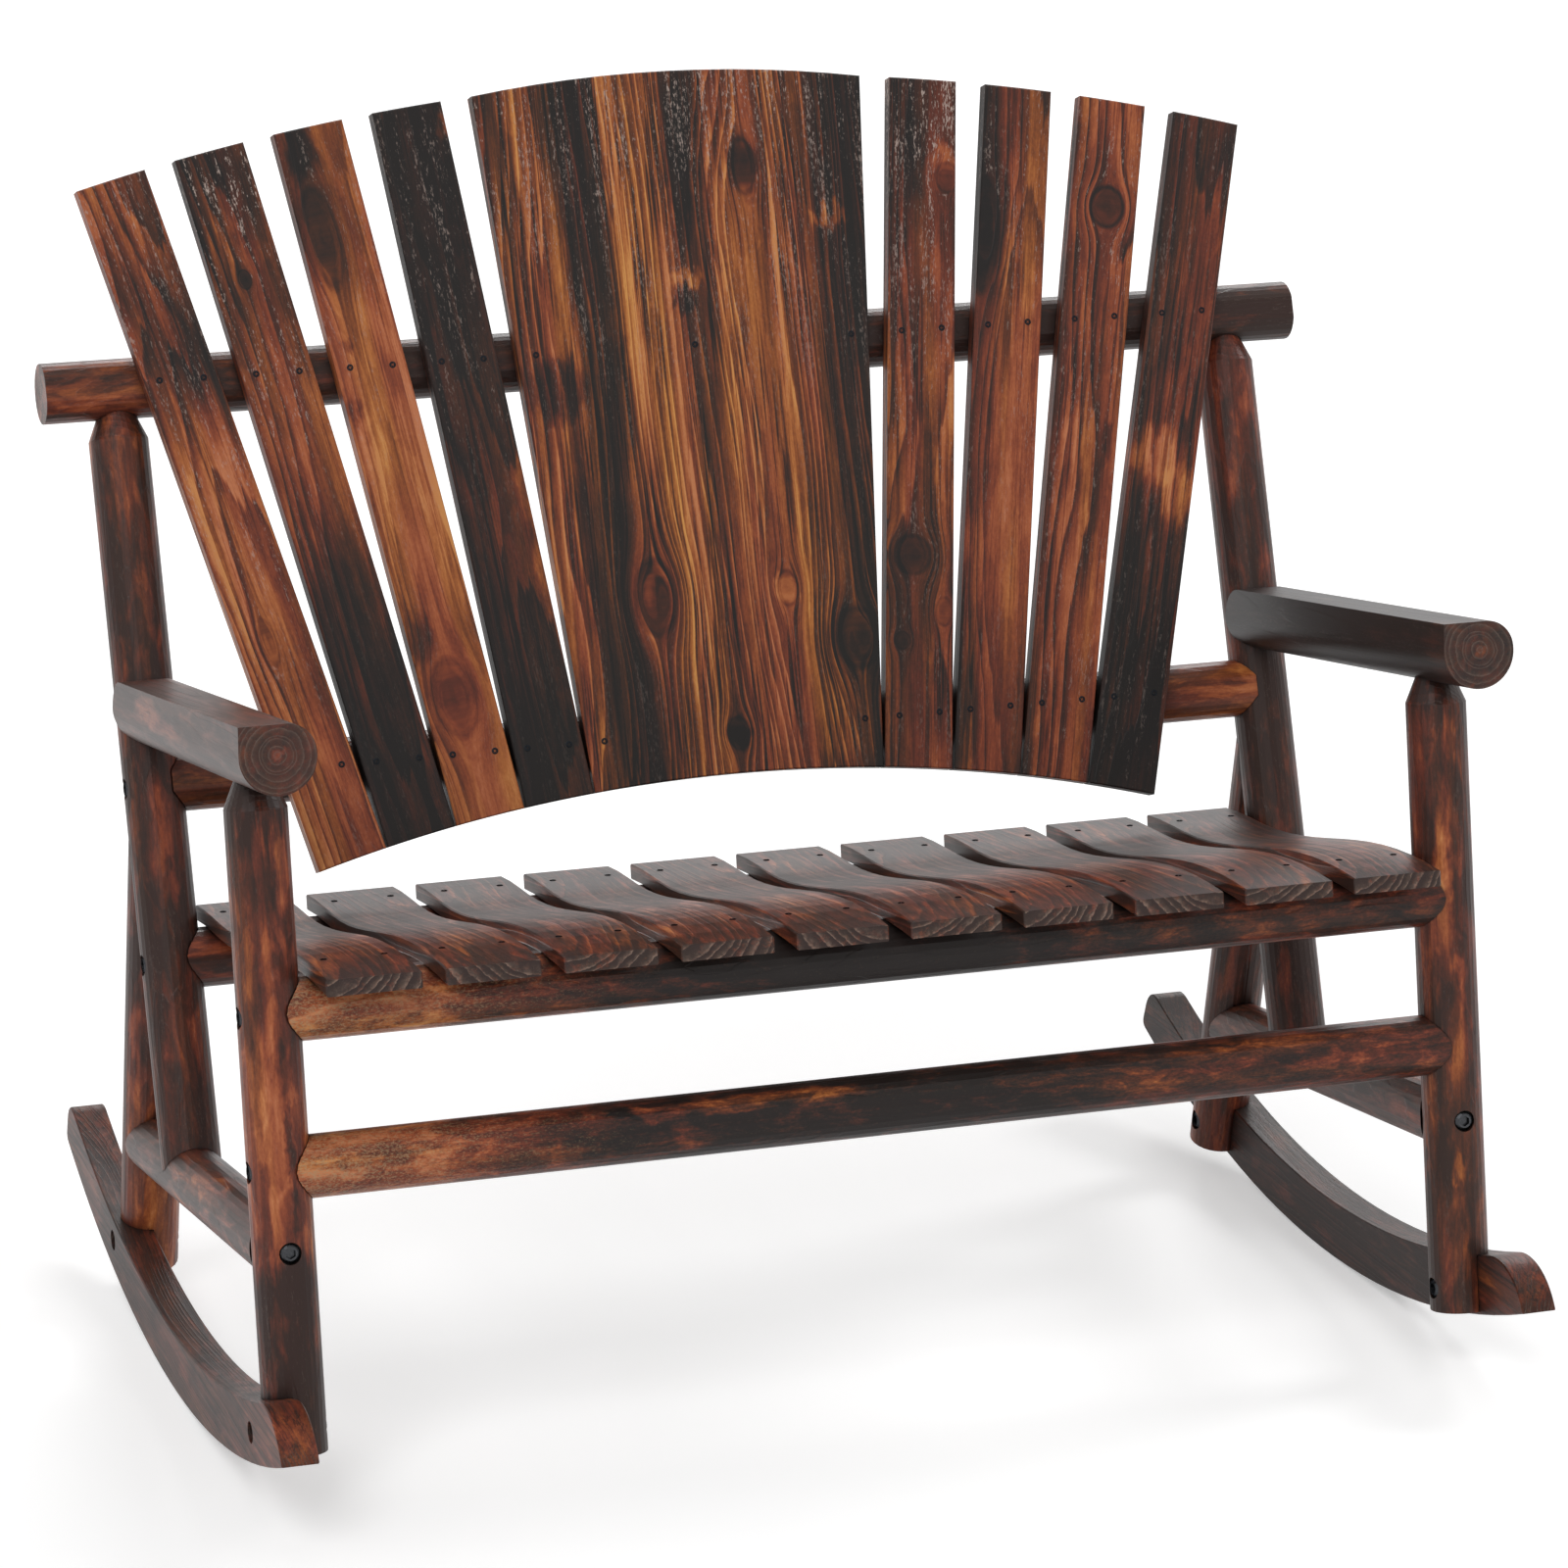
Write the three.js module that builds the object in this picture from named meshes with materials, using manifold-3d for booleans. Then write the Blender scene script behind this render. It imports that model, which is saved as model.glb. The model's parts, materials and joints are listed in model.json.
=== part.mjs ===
// A two-seat rocking bench of torched fir: peeled round logs, sawn rockers and planed slats.
// Millimetres. X runs along the bench, Y from front to rear, Z up.
// The bench is drawn square, with its front legs upright, and the finished bench is then pitched
// back to the pose in which it settles on its rockers.

import * as THREE from 'three';
import { mergeVertices } from 'three/addons/utils/BufferGeometryUtils.js';
import Module from 'manifold-3d';

const wasm = await Module();
wasm.setup();

// Driving dimensions: the whole bench
const restPitch = 9.7; // degrees that the bench leans back when it stands still
const sideSpacing = 1135.5; // from the plane of the left side's logs to the right side's
const clearance = 0.3; // between two pieces that touch

// Logs
const legDiameter = 57;
const railDiameter = 57.4;
const topRailDiameter = 58;
const topRailOverhang = 70; // past the plane of each side
const logSides = 28;
const copeSawDiameter = 63; // wider than the legs, so that the lips of a cope end rounded

// Front legs, measured from the point of the rockers that the bench stands on
const frontLegAhead = 366;
const footRise = 6.5; // a leg's sawn foot above the rocker's running edge
const frontStretcherHeight = 253.5;

// Pencil-shaped tops of legs and posts
const shoulderDrop = 20; // from the carried log's underside down to the shoulder
const tenonDiameter = 34;
const taperLength = 27;
const tenonLength = 36; // into the carried log

// Armrests
const armDiameter = 70;
const armFlatRise = 27.6; // the sawn top above the log's centre
const armCornerReach = 34; // from the log's centre to the square corner of the sawn top
const armEdgeRounding = 26; // of the far edge, between the sawn top and the log
const armCentreHeight = 632.5;
const armRearAhead = 16; // the rear end's plane, in front of the post's centre line
const armRearRounding = 32;
const armFrontOverhang = 102; // in front of the front leg's centre

// Back: posts and rails
const backLean = 9.83; // degrees
const lowerBackRailHeight = 557.7;
const lowerBackRailBehind = 65.2;
const backRailSpacing = 378; // lower back rail to top rail, along the posts
const slatFaceAhead = 44.7; // from the posts' centre line to the front of the back slats

// Rear legs and side stretchers
const rearLegLean = 22.3; // degrees
const rearLegMeetDrop = 51; // where its centre line meets the post's, below the lower back rail
const sideStretcherHeight = 180.5; // at the front leg
const sideStretcherRise = 1.7; // degrees, towards the rear

// Rockers
const rockerRadius = 1257;
const rockerThickness = 34;
const rockerDepth = 57.5;
const rockerTopShift = 2; // the top edge is the running edge moved up, and this far ahead
const rockerToeIn = 0.42; // degrees that the rockers draw together towards the rear
const rockerInset = 6.9; // from the logs' centre plane out to its inner face, at the front leg
const rockerRearReach = 440; // behind the point that it stands on
const rockerNoseStart = 417.5; // ahead of that point, where the top edge starts to round down
const rockerNoseRadius = 66;
const rockerHeelRounding = 10; // at the low corner of the rear end
const rockerTailRounding = 26; // at the high corner
const edgeEasing = 1.2; // the small bevel on every sawn edge

// Seat slats and the curve of their tops
const seatSlatCount = 10;
const seatSlatGap = 21.1;
const seatSideGap = 7.2; // between the outer slats and the legs
const seatSlatThickness = 15;
const seatRearBehind = 78;
const seatRearHeight = 436.4;
const seatDipAhead = 73;
const seatDipHeight = 427.2;
const seatHumpAhead = 315;
const seatHumpHeight = 439.9;
const seatFrontAhead = 442.4;
const seatFrontHeight = 429.4;
const railFlatDepth = 0.8; // planed off the seat rails where the slats lie

// Back slats, measured in their own plane from the line of the lower back rail
const backSlatThickness = 17.5;
const backSlatWidth = 69.4;
const backSlatsPerSide = 4;
const backSlatFirstFan = 6.78; // degrees
const backSlatFanStep = 2.45; // degrees
const backSlatFootGap = 1.5; // between neighbours, at their feet
const centreBoardFootWidth = 294.4;
const centreBoardTopWidth = 396.8;
const centreBoardTopRadius = 1320;
const centreBoardCrown = 648; // top of the centre board's arched end
const slatTopRadius = 2265;
const slatTopCrown = 641.6;
const slatFootRadius = 1584;
const slatFootCrown = 42.1; // the arched lower edge, below the lower back rail's line

// Bolts: button heads with a hex socket, each in its own counterbore
const boltShankDiameter = 8;
const boltHeadDiameter = 18.5;
const boltHeadHeight = 5;
const boltDomeDiameter = 13; // the flat on top of the head
const boltSocketWidth = 10; // across its corners
const boltSocketDepth = 3;
const boltGrip = 42; // of thread in the piece that the bolt pulls up
const counterboreDiameter = 20.5;
const counterboreDepth = 6;
const nutDiameter = 14;
const nutHeight = 6;
const nutRecess = 6; // the nut's end below the rocker's outer face
const boltSides = 16;
const hexSides = 6;
const rearLegBoltDrop = 52; // below the point where the rear leg meets the post
const rearFootBoltRise = 4; // above the middle of the rocker's edge
const stretcherBoltRise = 2.3; // of the front bolt, above the side stretcher's middle
const seatRailBoltDrop = 2.8; // below the seat rails' middles
const backRailBoltDrop = 3; // below the lower back rail's middle
const drillReach = 60; // how far a counterbore is cut outwards, past the log's skin

// Worked-out sizes
const radians = THREE.MathUtils.degToRad;
const halfSpacing = sideSpacing / 2;
const legRadius = legDiameter / 2;
const railRadius = railDiameter / 2;
const topRailRadius = topRailDiameter / 2;
const armRadius = armDiameter / 2;
const standHeight = rockerRadius * Math.cos(radians(restPitch));
const standAhead = rockerRadius * Math.sin(radians(restPitch));
const benchLength = sideSpacing + 2 * topRailOverhang;
const boltDepth = legRadius + boltGrip;
const solvingPasses = 6; // of the short loops that find where two lines meet
const floorLine = -standHeight; // well under every foot, for cuts that must clear the log

// Finishes
const finishes = {
  log: { color: 0x4a3026, roughness: 0.5, metalness: 0 },
  rocker: { color: 0x3b2b26, roughness: 0.5, metalness: 0 },
  seatSlat: { color: 0x4b2f28, roughness: 0.45, metalness: 0 },
  backSlat: { color: 0x6b3a22, roughness: 0.45, metalness: 0 },
  bolt: { color: 0x1c1c1d, roughness: 0.35, metalness: 0.8 },
};

// Solids: three.js shapes in, joined and cut, and back to three.js

function toSolid(geometry) {
  const bare = geometry.clone();
  bare.deleteAttribute('normal');
  bare.deleteAttribute('uv');
  const welded = mergeVertices(bare);
  const corners = [];
  const index = welded.index.array;
  for (let i = 0; i < index.length; i += 3) {
    const [a, b, c] = index.slice(i, i + 3);
    if (a !== b && b !== c && c !== a) corners.push(a, b, c);
  }
  return new wasm.Manifold(new wasm.Mesh({
    numProp: 3,
    vertProperties: new Float32Array(welded.attributes.position.array),
    triVerts: new Uint32Array(corners),
  }));
}

function toGeometry(solid) {
  const { vertProperties, triVerts } = solid.getMesh();
  const geometry = new THREE.BufferGeometry();
  geometry.setAttribute('position', new THREE.BufferAttribute(vertProperties, 3));
  geometry.setIndex(new THREE.BufferAttribute(triVerts, 1));
  geometry.computeVertexNormals();
  return geometry;
}

function point(x, y, z) {
  return new THREE.Vector3(x, y, z);
}

// Turns a shape that stands on the XY plane along Z so that it runs from start towards end.
function alongLine(geometry, start, end) {
  const direction = end.clone().sub(start).normalize();
  const turn = new THREE.Quaternion().setFromUnitVectors(point(0, 0, 1), direction);
  geometry.applyQuaternion(turn);
  geometry.translate(start.x, start.y, start.z);
  return geometry;
}

// A turned shape about the Z axis, from a list of [radius, height] steps.
function turned(steps, sides) {
  const geometry = new THREE.LatheGeometry(steps.map(([r, h]) => new THREE.Vector2(r, h)), sides);
  geometry.rotateX(Math.PI / 2);
  return geometry;
}

// A plain round log between two points.
function logSolid(radius, start, end) {
  const length = start.distanceTo(end);
  const steps = [[0, 0], [radius, 0], [radius, length], [0, length]];
  return toSolid(alongLine(turned(steps, logSides), start, end));
}

// The cut of the cope saw along the leg or post that a piece lies against. The saw is set back,
// away from the piece, so that the cope touches the log along the middle of its hollow.
function copeCut(start, end, away) {
  const sawRadius = copeSawDiameter / 2;
  const back = away.clone().multiplyScalar(sawRadius - legRadius - clearance);
  return logSolid(sawRadius, start.clone().add(back), end.clone().add(back));
}

// A log whose far end is shaped like a pencil and carries on as a tenon. Grown by a margin it
// is the cutter for the socket.
function pencilLogSolid(start, shoulder, margin = 0) {
  const length = start.distanceTo(shoulder);
  const radius = legRadius + margin;
  const tenonRadius = tenonDiameter / 2 + margin;
  const tenonEnd = length + shoulderDrop + tenonLength + margin;
  const steps = [
    [0, 0],
    [radius, 0],
    [radius, length],
    [tenonRadius, length + taperLength],
    [tenonRadius, tenonEnd],
    [0, tenonEnd],
  ];
  return toSolid(alongLine(turned(steps, logSides), start, shoulder));
}

// A flat outline in the YZ plane, given thickness along X from x = 0.
function sideExtrusion(shape, thickness, curveSegments) {
  const geometry = easedExtrusion(shape, thickness, curveSegments);
  geometry.rotateX(Math.PI / 2);
  geometry.rotateZ(Math.PI / 2);
  return geometry;
}

// An extrusion along Z from z = 0 whose two outlines have eased edges.
function easedExtrusion(shape, thickness, curveSegments) {
  const geometry = new THREE.ExtrudeGeometry(shape, {
    depth: thickness - 2 * edgeEasing,
    bevelThickness: edgeEasing,
    bevelSize: edgeEasing,
    bevelOffset: -edgeEasing,
    bevelSegments: 1,
    curveSegments,
  });
  geometry.translate(0, 0, edgeEasing);
  return geometry;
}

// A block with its lower face on a plane through a point, for planing a flat on a log.
function planingBlock(throughY, throughZ, tilt) {
  const block = new THREE.BoxGeometry(benchLength, railDiameter * 2, railDiameter);
  block.translate(0, 0, railDiameter / 2);
  block.rotateX(tilt);
  block.translate(0, throughY, throughZ);
  return toSolid(block);
}

// Where two circles in one plane meet; the sign picks one of the two points.
function circlesMeet(centreA, radiusA, centreB, radiusB, sign) {
  const between = centreB.clone().sub(centreA);
  const distance = between.length();
  const along = (distance ** 2 + radiusA ** 2 - radiusB ** 2) / (2 * distance);
  const across = sign * Math.sqrt(radiusA ** 2 - along ** 2);
  const unit = between.normalize();
  return new THREE.Vector2(
    centreA.x + unit.x * along - unit.y * across,
    centreA.y + unit.y * along + unit.x * across,
  );
}

// Centre lines in the square frame

const backTilt = radians(backLean);
const lowerBackRailCentre = point(0, lowerBackRailBehind, lowerBackRailHeight);

// A place on the posts' centre line, by its distance above the lower back rail.
function onPostLine(above, x = 0) {
  return point(
    x,
    lowerBackRailCentre.y + above * Math.sin(backTilt),
    lowerBackRailCentre.z + above * Math.cos(backTilt),
  );
}

// The same, by height.
function postLineAtHeight(height, x = 0) {
  return onPostLine((height - lowerBackRailHeight) / Math.cos(backTilt), x);
}

const rearLegTop = postLineAtHeight(lowerBackRailHeight - rearLegMeetDrop);

function rearLegAtHeight(height, x = 0) {
  return point(x, rearLegTop.y + (rearLegTop.z - height) * Math.tan(radians(rearLegLean)), height);
}

function sideStretcherAt(y, x = 0) {
  const rise = (y + frontLegAhead) * Math.tan(radians(sideStretcherRise));
  return point(x, y, sideStretcherHeight + rise);
}

// Where the side stretcher's centre line meets a line that is given by height.
function stretcherMeets(lineAtHeight) {
  let meeting = lineAtHeight(sideStretcherHeight);
  for (let pass = 0; pass < solvingPasses; pass += 1) {
    meeting = lineAtHeight(sideStretcherAt(meeting.y).z);
  }
  return meeting;
}

// The rocker's two long edges are circles of one radius.
const runningCentre = new THREE.Vector2(-standAhead, standHeight);
const topCentre = new THREE.Vector2(-standAhead - rockerTopShift, standHeight + rockerDepth);

function circleUndersideAt(centre, y) {
  return centre.y - Math.sqrt(rockerRadius ** 2 - (y - centre.x) ** 2);
}

function rockerMiddleAt(y) {
  return (circleUndersideAt(runningCentre, y) + circleUndersideAt(topCentre, y)) / 2;
}

// The seat's top: it falls from the rear into a dip, swells over the front rail and rolls off.
function swell(from, to, share) {
  return from + (to - from) * (1 - Math.cos(Math.PI * share)) / 2;
}

function seatTopAt(y) {
  if (y >= -seatDipAhead) {
    return swell(seatDipHeight, seatRearHeight, (y + seatDipAhead) / (seatRearBehind + seatDipAhead));
  }
  if (y >= -seatHumpAhead) {
    return swell(seatDipHeight, seatHumpHeight, (-seatDipAhead - y) / (seatHumpAhead - seatDipAhead));
  }
  const rollShare = (-seatHumpAhead - y) / (seatFrontAhead - seatHumpAhead);
  return seatHumpHeight - (seatHumpHeight - seatFrontHeight) * rollShare ** 2;
}

function seatUndersideAt(y) {
  return seatTopAt(y) - seatSlatThickness;
}

// How steeply the seat climbs there, over the width of a rail.
function seatTiltAt(y) {
  return Math.atan2(seatTopAt(y + railRadius) - seatTopAt(y - railRadius), railDiameter);
}

function seatRailHeight(y) {
  return seatUndersideAt(y) - clearance + railFlatDepth - railRadius;
}

const frontSeatRailCentre = point(0, -frontLegAhead, seatRailHeight(-frontLegAhead));
const rearSeatRailCentre = postLineAtHeight(seatRailHeight(postLineAtHeight(seatDipHeight).y));
const topRailCentre = onPostLine(backRailSpacing);

// Round pieces of one side, in one plane. Each is cut to its neighbours afterwards.

function frontLegFoot(x) {
  return point(x, -frontLegAhead, circleUndersideAt(runningCentre, -frontLegAhead) + footRise);
}

function frontLegShoulder(x) {
  return point(x, -frontLegAhead, armCentreHeight - armRadius - shoulderDrop);
}

function rearLegFoot(x) {
  let height = 0;
  for (let pass = 0; pass < solvingPasses; pass += 1) {
    height = circleUndersideAt(runningCentre, rearLegAtHeight(height).y) + footRise;
  }
  return rearLegAtHeight(height, x);
}

function postShoulder(x) {
  return onPostLine(backRailSpacing - topRailRadius - shoulderDrop, x);
}

function postFoot(x) {
  const meeting = stretcherMeets(postLineAtHeight);
  return point(x, meeting.y, meeting.z);
}

function postSolid(x, margin) {
  return pencilLogSolid(postFoot(x), postShoulder(x), margin);
}

function frontLegSolid(x, margin) {
  return pencilLogSolid(frontLegFoot(x), frontLegShoulder(x), margin);
}

function rearLegSolid(x, margin) {
  return logSolid(legRadius + margin, rearLegFoot(x), rearLegTop.clone().setX(x));
}

function frontLegCope(x, away) {
  return copeCut(frontLegFoot(x), frontLegShoulder(x), away);
}

function postCope(x, away) {
  return copeCut(postFoot(x), postShoulder(x), away);
}

function rearLegCope(x) {
  const lean = radians(rearLegLean);
  return copeCut(rearLegFoot(x), rearLegTop.clone().setX(x), point(0, Math.cos(lean), Math.sin(lean)));
}

function sideStretcherSolid(x, margin) {
  const rearEnd = stretcherMeets(rearLegAtHeight).setX(x);
  return logSolid(railRadius + margin, sideStretcherAt(-frontLegAhead, x), rearEnd);
}

// Rocker: two arcs, a rounded nose that ends in a low sharp tip, and a square rear end
function rockerShape() {
  const noseShare = (rockerNoseStart + topCentre.x) / rockerRadius;
  const noseLean = Math.asin(noseShare);
  const noseCentre = new THREE.Vector2(
    topCentre.x - (rockerRadius + rockerNoseRadius) * Math.sin(noseLean),
    topCentre.y - (rockerRadius + rockerNoseRadius) * Math.cos(noseLean),
  );
  const tip = circlesMeet(noseCentre, rockerNoseRadius, runningCentre, rockerRadius, 1);
  const angleOn = (centre, place) => Math.atan2(place.y - centre.y, place.x - centre.x);

  // The square rear end follows the running circle's own radius.
  const lowRear = new THREE.Vector2(rockerRearReach, circleUndersideAt(runningCentre, rockerRearReach));
  const inward = runningCentre.clone().sub(lowRear).normalize();
  const highRear = lowRear.clone();
  for (let pass = 0; pass < solvingPasses; pass += 1) {
    const overshoot = highRear.y - circleUndersideAt(topCentre, highRear.x);
    highRear.addScaledVector(inward, -overshoot / inward.y);
  }
  const highBend = angleOn(topCentre, highRear) - rockerTailRounding / rockerRadius;
  const lowBend = angleOn(runningCentre, lowRear) - rockerHeelRounding / rockerRadius;
  const arcPoint = (centre, angle) => new THREE.Vector2(
    centre.x + rockerRadius * Math.cos(angle),
    centre.y + rockerRadius * Math.sin(angle),
  );
  const afterLow = lowRear.clone().addScaledVector(inward, rockerHeelRounding);
  const beforeHigh = highRear.clone().addScaledVector(inward, -rockerTailRounding);
  const highStart = arcPoint(topCentre, highBend);

  const shape = new THREE.Shape();
  shape.moveTo(tip.x, tip.y);
  shape.absarc(runningCentre.x, runningCentre.y, rockerRadius, angleOn(runningCentre, tip), lowBend, false);
  shape.quadraticCurveTo(lowRear.x, lowRear.y, afterLow.x, afterLow.y);
  shape.lineTo(beforeHigh.x, beforeHigh.y);
  shape.quadraticCurveTo(highRear.x, highRear.y, highStart.x, highStart.y);
  shape.absarc(topCentre.x, topCentre.y, rockerRadius, highBend, -Math.PI / 2 - noseLean, true);
  shape.absarc(
    noseCentre.x, noseCentre.y, rockerNoseRadius,
    Math.PI / 2 - noseLean, angleOn(noseCentre, tip), false,
  );
  return shape;
}

const rockerSegments = 14;

// How far the rocker's inner face lies outside the logs' centre plane, at a place along it
function rockerInsetAt(y) {
  return rockerInset - (y + frontLegAhead) * Math.tan(radians(rockerToeIn));
}

// Sets a shape that starts at x = 0 beside the legs of one side, toed in with the rocker.
function besideLegs(geometry, outward, thickness, inset) {
  geometry.translate(outward > 0 ? inset : -inset - thickness, frontLegAhead, 0);
  geometry.rotateZ(outward * radians(rockerToeIn));
  geometry.translate(outward * halfSpacing, -frontLegAhead, 0);
  return toSolid(geometry);
}

function rockerSolid(outward) {
  const geometry = sideExtrusion(rockerShape(), rockerThickness, rockerSegments);
  return besideLegs(geometry, outward, rockerThickness, rockerInset);
}

// What is sawn off a leg's foot so that the rocker lies in it: everything outside the rocker's
// inner face and below its top edge.
function rockerNotchSolid(outward) {
  const shape = new THREE.Shape();
  const reach = rockerRearReach + rockerDepth;
  shape.moveTo(-reach, floorLine);
  shape.lineTo(reach, floorLine);
  const endAngle = Math.asin((reach - topCentre.x) / rockerRadius) - Math.PI / 2;
  const startAngle = Math.asin((-reach - topCentre.x) / rockerRadius) - Math.PI / 2;
  shape.absarc(topCentre.x, topCentre.y + clearance, rockerRadius, endAngle, startAngle, true);
  const geometry = new THREE.ExtrudeGeometry(shape, {
    depth: legDiameter,
    bevelEnabled: false,
    curveSegments: rockerSegments * 2,
  });
  geometry.rotateX(Math.PI / 2);
  geometry.rotateZ(Math.PI / 2);
  return besideLegs(geometry, outward, legDiameter, rockerInset - clearance);
}

const armSegments = 18;
const armRearSegments = 4;

// Armrest: a log with its top sawn flat. The near edge of the flat is square, the far one is
// worked round.
function armShape() {
  const cornerAngle = Math.atan2(armFlatRise, -armCornerReach);
  const cornerDistance = Math.hypot(armCornerReach, armFlatRise);
  const tangentAngle = cornerAngle + Math.acos(armRadius / cornerDistance);
  const roundingHeight = armFlatRise - armEdgeRounding;
  const roundingAcross = Math.sqrt((armRadius - armEdgeRounding) ** 2 - roundingHeight ** 2);
  const roundingStart = Math.atan2(roundingHeight, roundingAcross);
  const shape = new THREE.Shape();
  shape.moveTo(-armCornerReach, armFlatRise);
  shape.lineTo(armRadius * Math.cos(tangentAngle), armRadius * Math.sin(tangentAngle));
  shape.absarc(0, 0, armRadius, tangentAngle, roundingStart + 2 * Math.PI, false);
  shape.absarc(roundingAcross, roundingHeight, armEdgeRounding, roundingStart, Math.PI / 2, false);
  return shape;
}

// The armrest's outline from the side: plain but for the rounded upper corner at its rear.
function armSideShape(front, rear) {
  const shape = new THREE.Shape();
  shape.moveTo(front, -armDiameter);
  shape.lineTo(rear, -armDiameter);
  shape.absarc(
    rear - armRearRounding, armFlatRise - armRearRounding, armRearRounding,
    0, Math.PI / 2, false,
  );
  shape.lineTo(rear - armRearRounding, armDiameter);
  shape.lineTo(front, armDiameter);
  return shape;
}

function armSolid(x) {
  const front = -frontLegAhead - armFrontOverhang;
  const rear = postLineAtHeight(armCentreHeight).y - armRearAhead;
  const log = new THREE.ExtrudeGeometry(armShape(), {
    depth: armDiameter + rear - front,
    bevelEnabled: false,
    curveSegments: armSegments,
  });
  log.rotateX(Math.PI / 2);
  log.translate(x, armDiameter + rear, armCentreHeight);
  const outline = sideExtrusion(armSideShape(front, rear), 2 * armDiameter, armRearSegments);
  outline.translate(x - armDiameter, 0, armCentreHeight);
  return toSolid(log).intersect(toSolid(outline));
}

// Bolts

// A bolt is given by the centre of its counterbore's floor, its direction and its length.
function boltPlan(name, floor, towards, length, hasNut = false) {
  return { name, floor, direction: towards.clone().normalize(), length, hasNut };
}

function placeOnBolt(geometry, plan) {
  return alongLine(geometry, plan.floor, plan.floor.clone().add(plan.direction));
}

function boltSolid(plan) {
  const shank = boltShankDiameter / 2;
  const head = boltHeadDiameter / 2;
  const start = -clearance;
  const rim = start - boltHeadHeight / 2;
  const crown = start - boltHeadHeight;
  const steps = [[0, crown], [boltDomeDiameter / 2, crown], [head, rim], [head, start], [shank, start]];
  if (plan.hasNut) {
    steps.push(
      [shank, plan.length - nutHeight],
      [nutDiameter / 2, plan.length - nutHeight],
      [nutDiameter / 2, plan.length],
    );
  } else {
    steps.push([shank, plan.length]);
  }
  steps.push([0, plan.length]);
  const socketRadius = boltSocketWidth / 2;
  const socket = new THREE.CylinderGeometry(socketRadius, socketRadius, 2 * boltSocketDepth, hexSides);
  socket.rotateX(Math.PI / 2);
  socket.translate(0, 0, crown);
  const body = toSolid(placeOnBolt(turned(steps, boltSides), plan));
  return body.subtract(toSolid(placeOnBolt(socket, plan)));
}

// The drilled hole and its counterbore, and a second counterbore for a nut.
function drillingSolid(plan) {
  const hole = boltShankDiameter / 2 + clearance;
  const bore = counterboreDiameter / 2;
  const steps = [[0, -drillReach], [bore, -drillReach], [bore, 0], [hole, 0]];
  if (plan.hasNut) {
    const nutFloor = plan.length - nutHeight - clearance;
    steps.push([hole, nutFloor], [bore, nutFloor], [bore, plan.length + drillReach]);
    steps.push([0, plan.length + drillReach]);
  } else {
    steps.push([hole, plan.length + clearance], [0, plan.length + clearance]);
  }
  return toSolid(placeOnBolt(turned(steps, boltSides), plan));
}

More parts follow.
